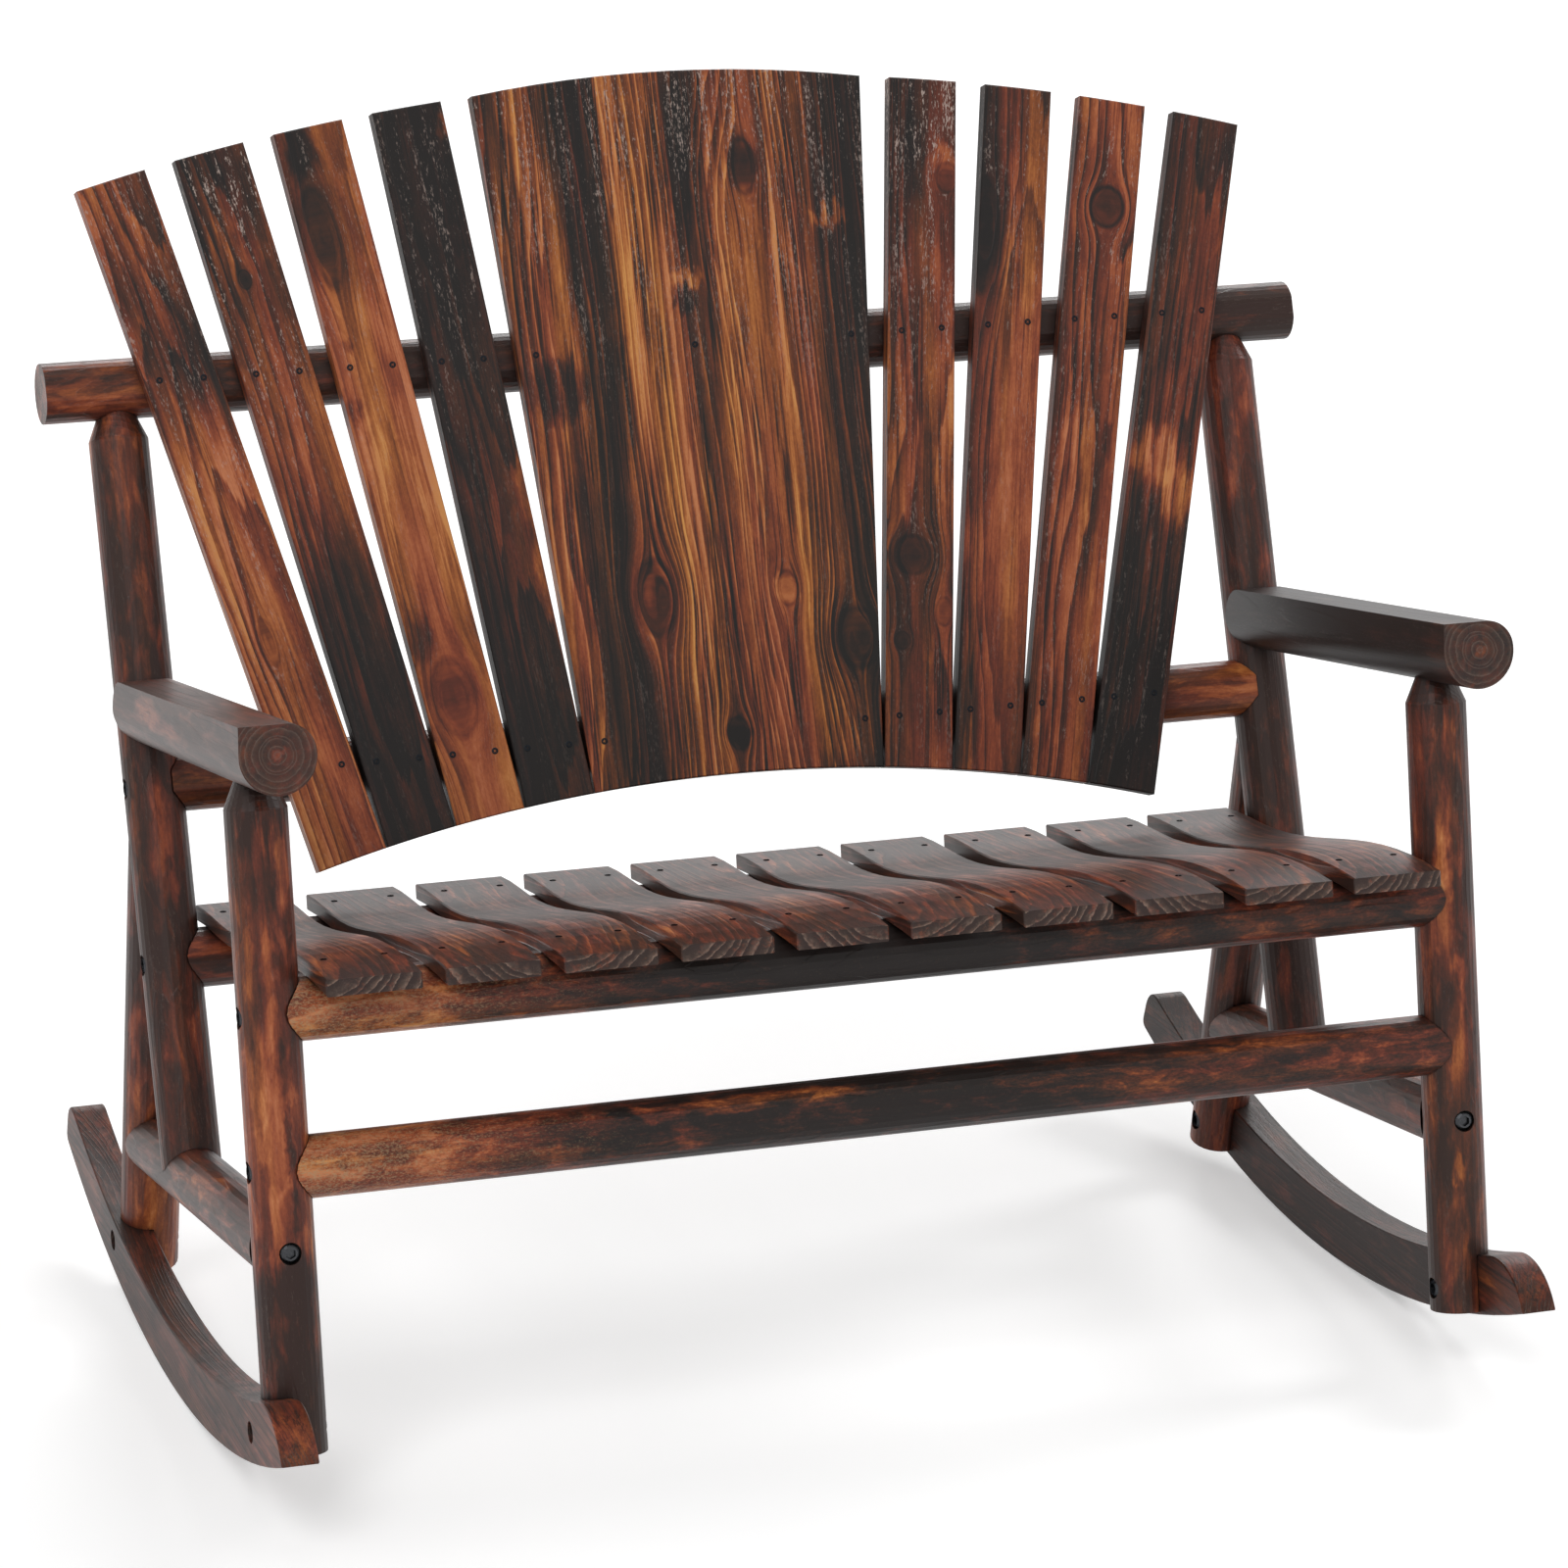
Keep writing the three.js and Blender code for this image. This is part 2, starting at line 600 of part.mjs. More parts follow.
function sideBoltPlans(side, outward) {
  const x = outward * halfSpacing;
  const outwards = point(outward, 0, 0);
  const inwards = point(-outward, 0, 0);
  const headOut = legRadius - counterboreDepth;
  const outerFloor = (place) => place.clone().setX(x + outward * headOut);
  const innerFloor = (place) => place.clone().setX(x - outward * headOut);
  const raised = (place, rise) => place.clone().setZ(place.z + rise);

  // Through the leg's foot and the rocker, the nut in the rocker's outer face
  const rockerGrip = (y) => headOut + rockerInsetAt(y) + rockerThickness - nutRecess;
  const frontFoot = point(0, -frontLegAhead, rockerMiddleAt(-frontLegAhead));
  let rearFoot = rearLegFoot(0);
  for (let pass = 0; pass < solvingPasses; pass += 1) {
    rearFoot = rearLegAtHeight(rockerMiddleAt(rearFoot.y) + rearFootBoltRise);
  }

  // Along the side stretcher, from each leg
  const stretcherFront = sideStretcherAt(-frontLegAhead, x);
  const stretcherRear = stretcherMeets(rearLegAtHeight).setX(x);
  const rearwards = stretcherRear.clone().sub(stretcherFront).normalize();
  const rearLegAcross = Math.cos(radians(rearLegLean + sideStretcherRise));
  const rearLegSkin = legRadius / rearLegAcross;

  // Square to the post: through the rear leg's top
  const postNormal = point(0, Math.cos(backTilt), -Math.sin(backTilt));
  const postAxis = point(0, Math.sin(backTilt), Math.cos(backTilt));
  const between = radians(backLean + rearLegLean);
  const legBehindPost = rearLegBoltDrop * Math.tan(between) + legRadius / Math.cos(between);
  const legBoltCentre = onPostLine(-rearLegMeetDrop / Math.cos(backTilt) - rearLegBoltDrop, x);
  const legBoltFloor = legBoltCentre.clone().addScaledVector(postNormal, legBehindPost - counterboreDepth);

  // Level through the post into the armrest's rear end
  const armJoint = postLineAtHeight(armCentreHeight, x);
  const armBoltFloor = armJoint.clone();
  armBoltFloor.y += legRadius / Math.cos(backTilt) - counterboreDepth;

  // Up through the side stretcher into the post's foot
  const footBoltFloor = postFoot(x).addScaledVector(postAxis, counterboreDepth - railRadius);

  return [
    boltPlan(`${side}_rocker_front_bolt`, innerFloor(frontFoot), outwards, rockerGrip(frontFoot.y), true),
    boltPlan(`${side}_rocker_rear_bolt`, innerFloor(rearFoot), outwards, rockerGrip(rearFoot.y), true),
    boltPlan(
      `${side}_side_stretcher_front_bolt`,
      raised(stretcherFront, stretcherBoltRise).addScaledVector(rearwards, -headOut), rearwards,
      boltDepth,
    ),
    boltPlan(
      `${side}_side_stretcher_rear_bolt`,
      stretcherRear.clone().addScaledVector(rearwards, rearLegSkin - counterboreDepth),
      rearwards.clone().negate(), boltDepth,
    ),
    boltPlan(
      `${side}_front_stretcher_bolt`,
      outerFloor(point(0, -frontLegAhead, frontStretcherHeight)), inwards, boltDepth,
    ),
    boltPlan(
      `${side}_front_seat_rail_bolt`,
      outerFloor(raised(frontSeatRailCentre, -seatRailBoltDrop)), inwards, boltDepth,
    ),
    boltPlan(
      `${side}_rear_seat_rail_bolt`,
      outerFloor(raised(rearSeatRailCentre, -seatRailBoltDrop)), inwards, boltDepth,
    ),
    boltPlan(
      `${side}_lower_back_rail_bolt`,
      outerFloor(raised(lowerBackRailCentre, -backRailBoltDrop)), inwards, boltDepth,
    ),
    boltPlan(`${side}_rear_leg_bolt`, legBoltFloor, postNormal.clone().negate(), legBehindPost),
    boltPlan(`${side}_armrest_bolt`, armBoltFloor, point(0, -1, 0), legDiameter + boltGrip),
    boltPlan(`${side}_post_foot_bolt`, footBoltFloor, postAxis, railDiameter + boltGrip),
  ];
}

// Rails across the bench

function crossLogSolid(centre, radius, halfLength) {
  return logSolid(radius, centre.clone().setX(-halfLength), centre.clone().setX(halfLength));
}

function topRailSolid() {
  return crossLogSolid(topRailCentre, topRailRadius, benchLength / 2);
}

// The plane of the back slats' rear faces cuts a narrow flat on both back rails.
function backSlatSeatSolid() {
  const block = new THREE.BoxGeometry(benchLength, topRailDiameter, 2 * centreBoardCrown);
  block.translate(0, -topRailRadius - slatFaceAhead + backSlatThickness + clearance, 0);
  block.rotateX(-backTilt);
  block.translate(lowerBackRailCentre.x, lowerBackRailCentre.y, lowerBackRailCentre.z);
  return toSolid(block);
}

function seatRailFlatSolid(centre) {
  return planingBlock(centre.y, seatUndersideAt(centre.y) - clearance, seatTiltAt(centre.y));
}

// Seat slats: one bent profile, cut ten times

const seatCurveSteps = 16;

function seatSlatShape() {
  const shape = new THREE.Shape();
  const depth = seatRearBehind + seatFrontAhead;
  const stations = [];
  for (let i = 0; i <= seatCurveSteps; i += 1) {
    stations.push(-seatFrontAhead + depth * i / seatCurveSteps);
  }
  stations.forEach((y, i) => {
    if (i === 0) shape.moveTo(y, seatUndersideAt(y));
    else shape.lineTo(y, seatUndersideAt(y));
  });
  stations.reverse().forEach((y) => shape.lineTo(y, seatTopAt(y)));
  return shape;
}

const seatWidth = sideSpacing - legDiameter - 2 * seatSideGap;
const seatSlatWidth = (seatWidth - (seatSlatCount - 1) * seatSlatGap) / seatSlatCount;

// Back slats, drawn in their own plane: u across, v up the slope

function archUnder(crown, radius) {
  return { centre: new THREE.Vector2(0, crown - radius), radius };
}

const footArch = archUnder(-slatFootCrown, slatFootRadius);
const slatTopArch = archUnder(slatTopCrown, slatTopRadius);
const boardTopArch = archUnder(centreBoardCrown, centreBoardTopRadius);

// Where a straight edge through a place, leaning by an angle, meets the top of an arch.
function edgeMeetsArch(place, lean, arch) {
  const along = new THREE.Vector2(Math.sin(lean), Math.cos(lean));
  const from = place.clone().sub(arch.centre);
  const half = from.dot(along);
  const reach = -half + Math.sqrt(half ** 2 - from.lengthSq() + arch.radius ** 2);
  return place.clone().addScaledVector(along, reach);
}

function onArch(arch, u) {
  return new THREE.Vector2(u, arch.centre.y + Math.sqrt(arch.radius ** 2 - u ** 2));
}

// A board between its left and right edges, with arched ends.
function boardShape(leftFoot, rightFoot, rightTop, leftTop, topArch) {
  const angleOn = (arch, place) => Math.atan2(place.y - arch.centre.y, place.x - arch.centre.x);
  const shape = new THREE.Shape();
  const addArch = (arch, from, to, clockwise) => {
    shape.absarc(0, arch.centre.y, arch.radius, angleOn(arch, from), angleOn(arch, to), clockwise);
  };
  shape.moveTo(leftFoot.x, leftFoot.y);
  addArch(footArch, leftFoot, rightFoot, true);
  shape.lineTo(rightTop.x, rightTop.y);
  addArch(topArch, rightTop, leftTop, false);
  return shape;
}

const centreBoardLean = Math.atan2(
  (centreBoardTopWidth - centreBoardFootWidth) / 2,
  onArch(boardTopArch, centreBoardTopWidth / 2).y - onArch(footArch, centreBoardFootWidth / 2).y,
);

function mirrored(place) {
  return new THREE.Vector2(-place.x, place.y);
}

function centreBoardShape() {
  const rightFoot = onArch(footArch, centreBoardFootWidth / 2);
  const rightTop = edgeMeetsArch(rightFoot, centreBoardLean, boardTopArch);
  return boardShape(mirrored(rightFoot), rightFoot, rightTop, mirrored(rightTop), boardTopArch);
}

// The slats on the right, from the centre board outwards. Each stands with its inner foot
// corner beside its neighbour's outer one and leans a step more.
function fanOfSlats() {
  const slats = [];
  let innerFoot = onArch(footArch, centreBoardFootWidth / 2 + backSlatFootGap);
  for (let i = 0; i < backSlatsPerSide; i += 1) {
    const lean = radians(backSlatFirstFan + i * backSlatFanStep);
    const across = new THREE.Vector2(Math.cos(lean), -Math.sin(lean));
    const outerEdge = innerFoot.clone().addScaledVector(across, backSlatWidth);
    const outerFoot = edgeMeetsArch(outerEdge, lean, footArch);
    const innerTop = edgeMeetsArch(innerFoot, lean, slatTopArch);
    const outerTop = edgeMeetsArch(outerFoot, lean, slatTopArch);
    slats.push({ innerFoot, outerFoot, outerTop, innerTop });
    innerFoot = onArch(footArch, outerFoot.x + backSlatFootGap);
  }
  return slats;
}

const boardArcSegments = 6;
const slatArcSegments = 2;

function boardGeometry(shape, arcSegments) {
  const geometry = easedExtrusion(shape, backSlatThickness, arcSegments);
  geometry.rotateX(Math.PI / 2);
  return geometry;
}

// The scene graph

const bench = new THREE.Group();
const back = new THREE.Group();
back.position.copy(lowerBackRailCentre);
back.rotation.x = -backTilt;
back.updateMatrix();
bench.add(back);

function addMesh(group, name, geometry, finish) {
  const mesh = new THREE.Mesh(geometry, new THREE.MeshStandardMaterial(finishes[finish]));
  mesh.name = name;
  group.add(mesh);
  return mesh;
}

// Solids are worked out in the bench's square frame, where neighbours can cut each other, and
// handed to the group that carries them.
function addSolid(group, name, solid, finish) {
  const geometry = toGeometry(solid);
  if (group !== bench) geometry.applyMatrix4(group.matrix.clone().invert());
  return addMesh(group, name, geometry, finish);
}

const sides = [
  { side: 'left', outward: -1 },
  { side: 'right', outward: 1 },
];
const boltPlans = sides.flatMap(({ side, outward }) => sideBoltPlans(side, outward));
const drillings = boltPlans.map(drillingSolid).reduce((all, next) => all.add(next));

for (const { side, outward } of sides) {
  const x = outward * halfSpacing;
  const notch = rockerNotchSolid(outward);

  const frontLeg = frontLegSolid(x, 0).subtract(notch).subtract(drillings);
  addSolid(bench, `${side}_front_leg`, frontLeg, 'log');

  const rearLeg = rearLegSolid(x, 0).subtract(notch).subtract(postSolid(x, clearance));
  addSolid(bench, `${side}_rear_leg`, rearLeg.subtract(drillings), 'log');

  const stretcher = sideStretcherSolid(x, 0)
    .subtract(frontLegCope(x, point(0, -1, 0)))
    .subtract(rearLegCope(x));
  addSolid(bench, `${side}_side_stretcher`, stretcher.subtract(drillings), 'log');

  const post = postSolid(x, 0).subtract(sideStretcherSolid(x, clearance));
  addSolid(back, `${side}_back_post`, post.subtract(drillings), 'log');

  const arm = armSolid(x)
    .subtract(frontLegSolid(x, clearance))
    .subtract(postSolid(x, clearance));
  addSolid(bench, `${side}_armrest`, arm.subtract(drillings), 'log');

  addSolid(bench, `${side}_rocker`, rockerSolid(outward).subtract(drillings), 'rocker');
}

function copedRail(centre, cope) {
  const log = crossLogSolid(centre, railRadius, halfSpacing);
  const ends = sides.map(({ outward }) => cope(outward * halfSpacing, point(outward, 0, 0)));
  return ends.reduce((piece, end) => piece.subtract(end), log).subtract(drillings);
}

const frontStretcherCentre = point(0, -frontLegAhead, frontStretcherHeight);
addSolid(bench, 'front_stretcher', copedRail(frontStretcherCentre, frontLegCope), 'log');

const frontSeatRail = copedRail(frontSeatRailCentre, frontLegCope)
  .subtract(seatRailFlatSolid(frontSeatRailCentre));
addSolid(bench, 'front_seat_rail', frontSeatRail, 'log');

const rearSeatRail = copedRail(rearSeatRailCentre, postCope)
  .subtract(seatRailFlatSolid(rearSeatRailCentre));
addSolid(back, 'rear_seat_rail', rearSeatRail, 'log');

const backSlatSeat = backSlatSeatSolid();
const lowerBackRail = copedRail(lowerBackRailCentre, postCope);
addSolid(back, 'lower_back_rail', lowerBackRail.subtract(backSlatSeat), 'log');
const topBackRail = sides.reduce(
  (rail, { outward }) => rail.subtract(postSolid(outward * halfSpacing, clearance)), topRailSolid(),
);
addSolid(back, 'top_back_rail', topBackRail.subtract(backSlatSeat), 'log');

const seatSlatGeometry = sideExtrusion(seatSlatShape(), seatSlatWidth, 1);
for (let i = 0; i < seatSlatCount; i += 1) {
  const slat = addMesh(bench, `seat_slat_${i + 1}`, seatSlatGeometry.clone(), 'seatSlat');
  slat.position.x = -seatWidth / 2 + i * (seatSlatWidth + seatSlatGap);
}

function addBackBoard(name, shape, arcSegments) {
  const board = addMesh(back, name, boardGeometry(shape, arcSegments), 'backSlat');
  board.position.y = backSlatThickness - slatFaceAhead;
}

addBackBoard('back_centre_board', centreBoardShape(), boardArcSegments);
fanOfSlats().forEach(({ innerFoot, outerFoot, outerTop, innerTop }, i) => {
  const rightShape = boardShape(innerFoot, outerFoot, outerTop, innerTop, slatTopArch);
  addBackBoard(`right_back_slat_${i + 1}`, rightShape, slatArcSegments);
  const leftCorners = [outerFoot, innerFoot, innerTop, outerTop].map(mirrored);
  addBackBoard(`left_back_slat_${i + 1}`, boardShape(...leftCorners, slatTopArch), slatArcSegments);
});

boltPlans.forEach((plan) => addSolid(bench, plan.name, boltSolid(plan), 'bolt'));

// The finished bench leans back on its rockers and stands on the floor, its middle over the origin.
bench.rotation.x = -radians(restPitch);
bench.updateMatrixWorld(true);
const extent = new THREE.Box3().setFromObject(bench, true);
const middle = extent.getCenter(new THREE.Vector3());
bench.position.set(-middle.x, -middle.y, -extent.min.z);

export default bench;
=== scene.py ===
# %% [markdown]
# A rocking bench of torched fir
#
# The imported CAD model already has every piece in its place: peeled logs, sawn rockers, planed
# slats and black bolts. This script gives the pieces their finish, adds the small screws, and
# sets up the floor, the light and the camera. Everything is in metres. X runs along the bench,
# the front faces -Y, and Z is up.

import json
import math

import bmesh
import bpy
import numpy as np
from mathutils import Euler, Matrix, Vector

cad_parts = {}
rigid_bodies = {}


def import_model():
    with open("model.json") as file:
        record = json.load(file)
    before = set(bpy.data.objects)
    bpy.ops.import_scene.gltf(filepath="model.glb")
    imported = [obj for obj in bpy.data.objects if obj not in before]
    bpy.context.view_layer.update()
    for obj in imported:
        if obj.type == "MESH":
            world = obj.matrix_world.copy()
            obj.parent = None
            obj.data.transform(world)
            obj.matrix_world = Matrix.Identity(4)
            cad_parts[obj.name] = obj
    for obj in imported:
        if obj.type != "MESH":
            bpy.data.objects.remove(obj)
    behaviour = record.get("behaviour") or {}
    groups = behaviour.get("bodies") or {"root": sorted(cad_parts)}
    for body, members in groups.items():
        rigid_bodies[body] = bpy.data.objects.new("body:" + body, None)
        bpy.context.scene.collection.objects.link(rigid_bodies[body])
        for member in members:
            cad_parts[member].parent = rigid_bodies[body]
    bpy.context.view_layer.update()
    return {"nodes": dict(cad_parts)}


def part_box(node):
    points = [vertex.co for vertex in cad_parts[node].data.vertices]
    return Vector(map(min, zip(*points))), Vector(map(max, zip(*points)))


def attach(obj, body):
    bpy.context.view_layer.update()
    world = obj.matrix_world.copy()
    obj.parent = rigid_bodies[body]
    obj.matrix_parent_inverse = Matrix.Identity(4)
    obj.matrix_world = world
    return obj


for thing in list(bpy.data.objects):
    bpy.data.objects.remove(thing)
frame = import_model()
nodes = frame["nodes"]

# %% [markdown]
# The camera stands in front of the bench's left end, a little above its top, and looks down at
# it. It is far away with a long lens, so the sides stay nearly parallel. Its place and direction
# were worked out from the corners of the rockers, seat and boards.

# %% Camera
SENSOR_MM = 36.0
LENS_MM = 138.2
CAMERA_PLACE = (-1.7323, -5.2356, 2.1062)
CAMERA_FORWARD = (0.3032, 0.9126, -0.2743)

camera_data = bpy.data.cameras.new("camera")
camera_data.sensor_fit = "HORIZONTAL"
camera_data.sensor_width = SENSOR_MM
camera_data.lens = LENS_MM
camera = bpy.data.objects.new("camera", camera_data)
camera.location = CAMERA_PLACE
camera.rotation_euler = Vector(CAMERA_FORWARD).to_track_quat("-Z", "Y").to_euler()
bpy.context.scene.collection.objects.link(camera)
bpy.context.scene.camera = camera
print("field of view, degrees:", round(math.degrees(2 * math.atan(SENSOR_MM / 2 / LENS_MM)), 2))

# %% [markdown]
# Every surface is described by a node tree. One small function adds a node, sets it and links
# it. A second one turns a colour, written as sRGB hex, into the linear numbers that the renderer
# works with. A third one fills a colour ramp, and a fourth starts a material.


# %% Helpers for materials
def add(tree, kind, inputs=None, **settings):
    """Adds a node: settings are its own properties, inputs are numbers or links by socket.
    kind is its Python name without ShaderNode, which they all begin with."""
    made = tree.nodes.new("ShaderNode" + kind)
    for setting, value in settings.items():
        setattr(made, setting, value)
    for socket, value in (inputs or {}).items():
        if isinstance(value, bpy.types.NodeSocket):
            tree.links.new(value, made.inputs[socket])
        else:
            made.inputs[socket].default_value = value
    return made


def linear(hex_colour):
    """sRGB hex to linear red, green, blue and an alpha of 1."""
    channels = [int(hex_colour[i:i + 2], 16) / 255 for i in (1, 3, 5)]
    return [c / 12.92 if c <= 0.04045 else ((c + 0.055) / 1.055) ** 2.4 for c in channels] + [1.0]


def fill_ramp(ramp_node, stops):
    """Sets a ramp's stops from (position, hex colour or grey number), and gives its output."""
    elements = ramp_node.color_ramp.elements
    while len(elements) > 1:
        elements.remove(elements[-1])
    for count, (position, value) in enumerate(stops):
        element = elements[0] if count == 0 else elements.new(position)
        element.position = position
        element.color = linear(value) if isinstance(value, str) else (value, value, value, 1.0)
    return ramp_node.outputs["Color"]


def new_material(name):
    """A material with the usual shader, its node tree, and that shader."""
    material = bpy.data.materials.new(name)
    material.use_nodes = True
    return material, material.node_tree, material.node_tree.nodes["Principled BSDF"]


print("charcoal in linear numbers:", [round(c, 3) for c in linear("#2E2B2A")])

# %% [markdown]
# Wood has a direction: rings and fibres run along the tree. So each piece gets its own frame,
# found from its own mesh: the longest axis is the grain, the next is across the face, and the
# shortest is its thickness. A round log has no face, so its thickness runs front to rear. The
# textures are then drawn in millimetres in that frame, and a slat that leans in the fan keeps
# its grain parallel to its own edges.

# %% Grain frame of a piece
METRE_IN_MM = 1000.0
ROUND_SHARE = 0.7  # a piece whose thickness is at least this share of its width counts as round
UP, FORWARD, RIGHTWARD = (0, 0, 1), (0, -1, 0), (1, 0, 0)
INTO_BOARD = (0, 1, 0.2)  # a board's thickness runs to the rear, or up where it lies flat


def grain_frame(name, towards=UP):
    """The middle of a piece, its turn as XYZ angles, its size in millimetres along across,
    thickness and grain, and the way its grain runs."""
    mesh = nodes[name].data
    corners = np.empty(len(mesh.vertices) * 3)
    mesh.vertices.foreach_get("co", corners)
    corners = np.unique(np.round(corners.reshape(-1, 3), 6), axis=0)
    middle = (corners.min(0) + corners.max(0)) / 2
    axes = np.linalg.eigh(np.cov((corners - corners.mean(0)).T))[1]
    grain = Vector(axes[:, 2])
    if grain.dot(Vector(towards)) < 0:
        grain = -grain
    thickness = Vector(axes[:, 0])
    extent = np.ptp(corners @ axes, axis=0)
    if extent[0] > ROUND_SHARE * extent[1]:
        rearward = Vector((0, 1, 0)) if abs(grain.y) < ROUND_SHARE else Vector(UP)
        thickness = (rearward - grain * rearward.dot(grain)).normalized()
    elif thickness.dot(Vector(INTO_BOARD)) < 0:
        thickness = -thickness
    across = thickness.cross(grain).normalized()
    turn = Matrix((across, thickness, grain)).transposed()
    reach = (corners - middle) @ np.array(turn)
    shift = (reach.min(0) + reach.max(0)) / 2
    middle = Vector(middle) + turn @ Vector(shift)
    size = (reach.max(0) - reach.min(0)) * METRE_IN_MM
    return middle, turn.to_euler(), size, grain


for sample in ("back_centre_board", "left_back_slat_4", "left_front_leg", "top_back_rail"):
    middle, turn, size, _ = grain_frame(sample)
    print(sample, [round(v, 3) for v in middle], [round(math.degrees(v), 1) for v in turn],
          [round(v, 1) for v in size])

# %% [markdown]
# The wood is fir, torched with a flame, brushed and sealed with a satin clear varnish. The flame
# chars it in clouds and along the rings, so black and brown shapes lie over orange and golden
# stripes. The pattern is a solid one: it runs through the piece, so a log's end shows rings and
# a curved seat slat cuts through them, as real wood does. All its sizes are in millimetres.
#
# First the piece's own millimetres, and the knots. A knot is the foot of a branch, and round it
# the rings swing aside. That is drawn by pushing the place that is looked up towards the knot's
# line, which takes no new pattern, only a bend in the one that is there.

# %% Torched fir: millimetres and knots
KNOT_EYE = [(0.44, 0), (0.55, 1), (0.66, 0.35), (0.9, 0.45), (0.98, 0.6)]  # rim to heart


def piece_millimetres(tree, middle, turn):
    """The place in the piece's own frame: across, thickness, grain."""
    place = add(tree, "TexCoord").outputs["Object"]
    return add(tree, "Mapping", {
        "Vector": place, "Location": middle, "Rotation": turn, "Scale": [1 / METRE_IN_MM] * 3,
    }, vector_type="TEXTURE").outputs[0]


def bend_round_knots(tree, local, knots):
    """Knots are (place across, place in thickness, place along, half width, half height, push).
    Gives the place with the rings swung aside, and how dark each knot and its rim are."""
    bent, eyes = local, None
    for across, inward, along, wide, high, push in knots:
        away = add(tree, "VectorMath", {
            0: local, 1: (across, inward, along)}, operation="SUBTRACT").outputs[0]
        scaled = add(tree, "VectorMath", {
            0: away, 1: (1 / wide, 1 / wide, 1 / high)}, operation="MULTIPLY").outputs[0]
        squared = add(tree, "VectorMath", {
            0: scaled, 1: scaled}, operation="DOT_PRODUCT").outputs["Value"]
        fading = add(tree, "Math", {0: squared, 1: -1}, operation="MULTIPLY").outputs[0]
        hill = add(tree, "Math", {0: fading}, operation="EXPONENT").outputs[0]
        pushing = add(tree, "Math", {0: hill, 1: push}, operation="MULTIPLY").outputs[0]
        aside = add(tree, "VectorMath", {0: away, "Scale": pushing}, operation="SCALE").outputs[0]
        sideways = add(tree, "VectorMath", {
            0: aside, 1: (1, 0, 0)}, operation="MULTIPLY").outputs[0]
        bent = add(tree, "VectorMath", {0: bent, 1: sideways}, operation="SUBTRACT").outputs[0]
        eye = fill_ramp(add(tree, "ValToRGB", {"Fac": hill}), KNOT_EYE)
        if eyes is not None:
            eye = add(tree, "Math", {0: eyes, 1: eye}, operation="MAXIMUM").outputs[0]
        eyes = eye
    return bent, eyes


print("stops of a knot, rim to heart:", len(KNOT_EYE))

# %% [markdown]
# Growth rings are circles round the tree's pith, which wanders a little along the piece. Where a
# board's face meets them at a slant they show as the long pointed arches of plain-sawn wood.
# Each year starts light and soft and ends in a thin dark line. The years differ in width. The
# rings are counted outwards from the pith, so that one ramp over a single year draws them all.
# Every noise has a width across the grain and a length along it, both in millimetres.

# %% Torched fir: noise along the grain, and growth rings
YEAR = [(0, 0), (0.30, 0.12), (0.70, 0.55), (0.88, 1), (0.95, 0.9), (1, 0)]
WANDER_WIDE = 110
LOBES = (26, 380)
RING_FRAY = (4, 90)
UNEVEN_YEARS = 2.6  # how many years wide and narrow ones shift the count by
FRAYED_YEARS = 0.35
NOISE_MIDDLE = 0.5


def drawn_out(tree, place, wide, long, **noise):
    """Cloud noise whose features are so wide across the grain and so long along it."""
    scaled = add(tree, "VectorMath", {
        0: place, 1: (1 / wide, 1 / wide, 1 / long)}, operation="MULTIPLY").outputs[0]
    return add(tree, "TexNoise", {
        "Vector": scaled, "Scale": 1, "Detail": 2, "Roughness": 0.55, **noise})


def growth_rings(tree, bent, seeded, look):
    """How late in its year the wood is, from 0 for spring wood to 1 for the dark line."""
    wander = look["wander"]
    pushes = drawn_out(tree, seeded, WANDER_WIDE, look["wander_length"], Detail=1)
    swing = add(tree, "VectorMath", {
        0: pushes.outputs["Color"], 1: (wander, wander, 0), 2: (-wander / 2, -wander / 2, 0),
    }, operation="MULTIPLY_ADD").outputs[0]
    from_pith = add(tree, "VectorMath", {
        0: bent, 1: look["pith"] + (0,)}, operation="SUBTRACT").outputs[0]
    radial = add(tree, "VectorMath", {
        0: from_pith, 1: (1, 1, 0), 2: swing}, operation="MULTIPLY_ADD").outputs[0]
    radius = add(tree, "VectorMath", {0: radial}, operation="LENGTH").outputs["Value"]
    lobes = drawn_out(tree, seeded, *LOBES).outputs["Fac"]
    radius = add(tree, "Math", {
        0: lobes, 1: look["lobed"], 2: radius}, operation="MULTIPLY_ADD").outputs[0]
    years = add(tree, "Math", {0: radius, 1: 1 / look["ring"]}, operation="MULTIPLY").outputs[0]
    uneven = add(tree, "TexNoise", {
        "W": years, "Scale": 0.35, "Detail": 1}, noise_dimensions="1D").outputs["Fac"]
    frayed = drawn_out(tree, seeded, *RING_FRAY).outputs["Fac"]
    counted = add(tree, "Math", {
        0: uneven, 1: UNEVEN_YEARS, 2: years}, operation="MULTIPLY_ADD").outputs[0]
    counted = add(tree, "Math", {
        0: frayed, 1: FRAYED_YEARS, 2: counted}, operation="MULTIPLY_ADD").outputs[0]
    year = add(tree, "Math", {0: counted}, operation="FRACT").outputs[0]
    return fill_ramp(add(tree, "ValToRGB", {"Fac": year}), YEAR)


print("the dark line comes", YEAR[3][0], "through the year")

# %% [markdown]
# How deep the char goes decides the colour: golden wood, orange, red-brown, and then charcoal.
# The depth is a sum. Each piece has light and dark stretches along its length and bands across
# its width, as the flame passed over it, and marks where the flame stayed or missed a spot. A
# noise pushes the place about first, so that none of them has a clean edge.

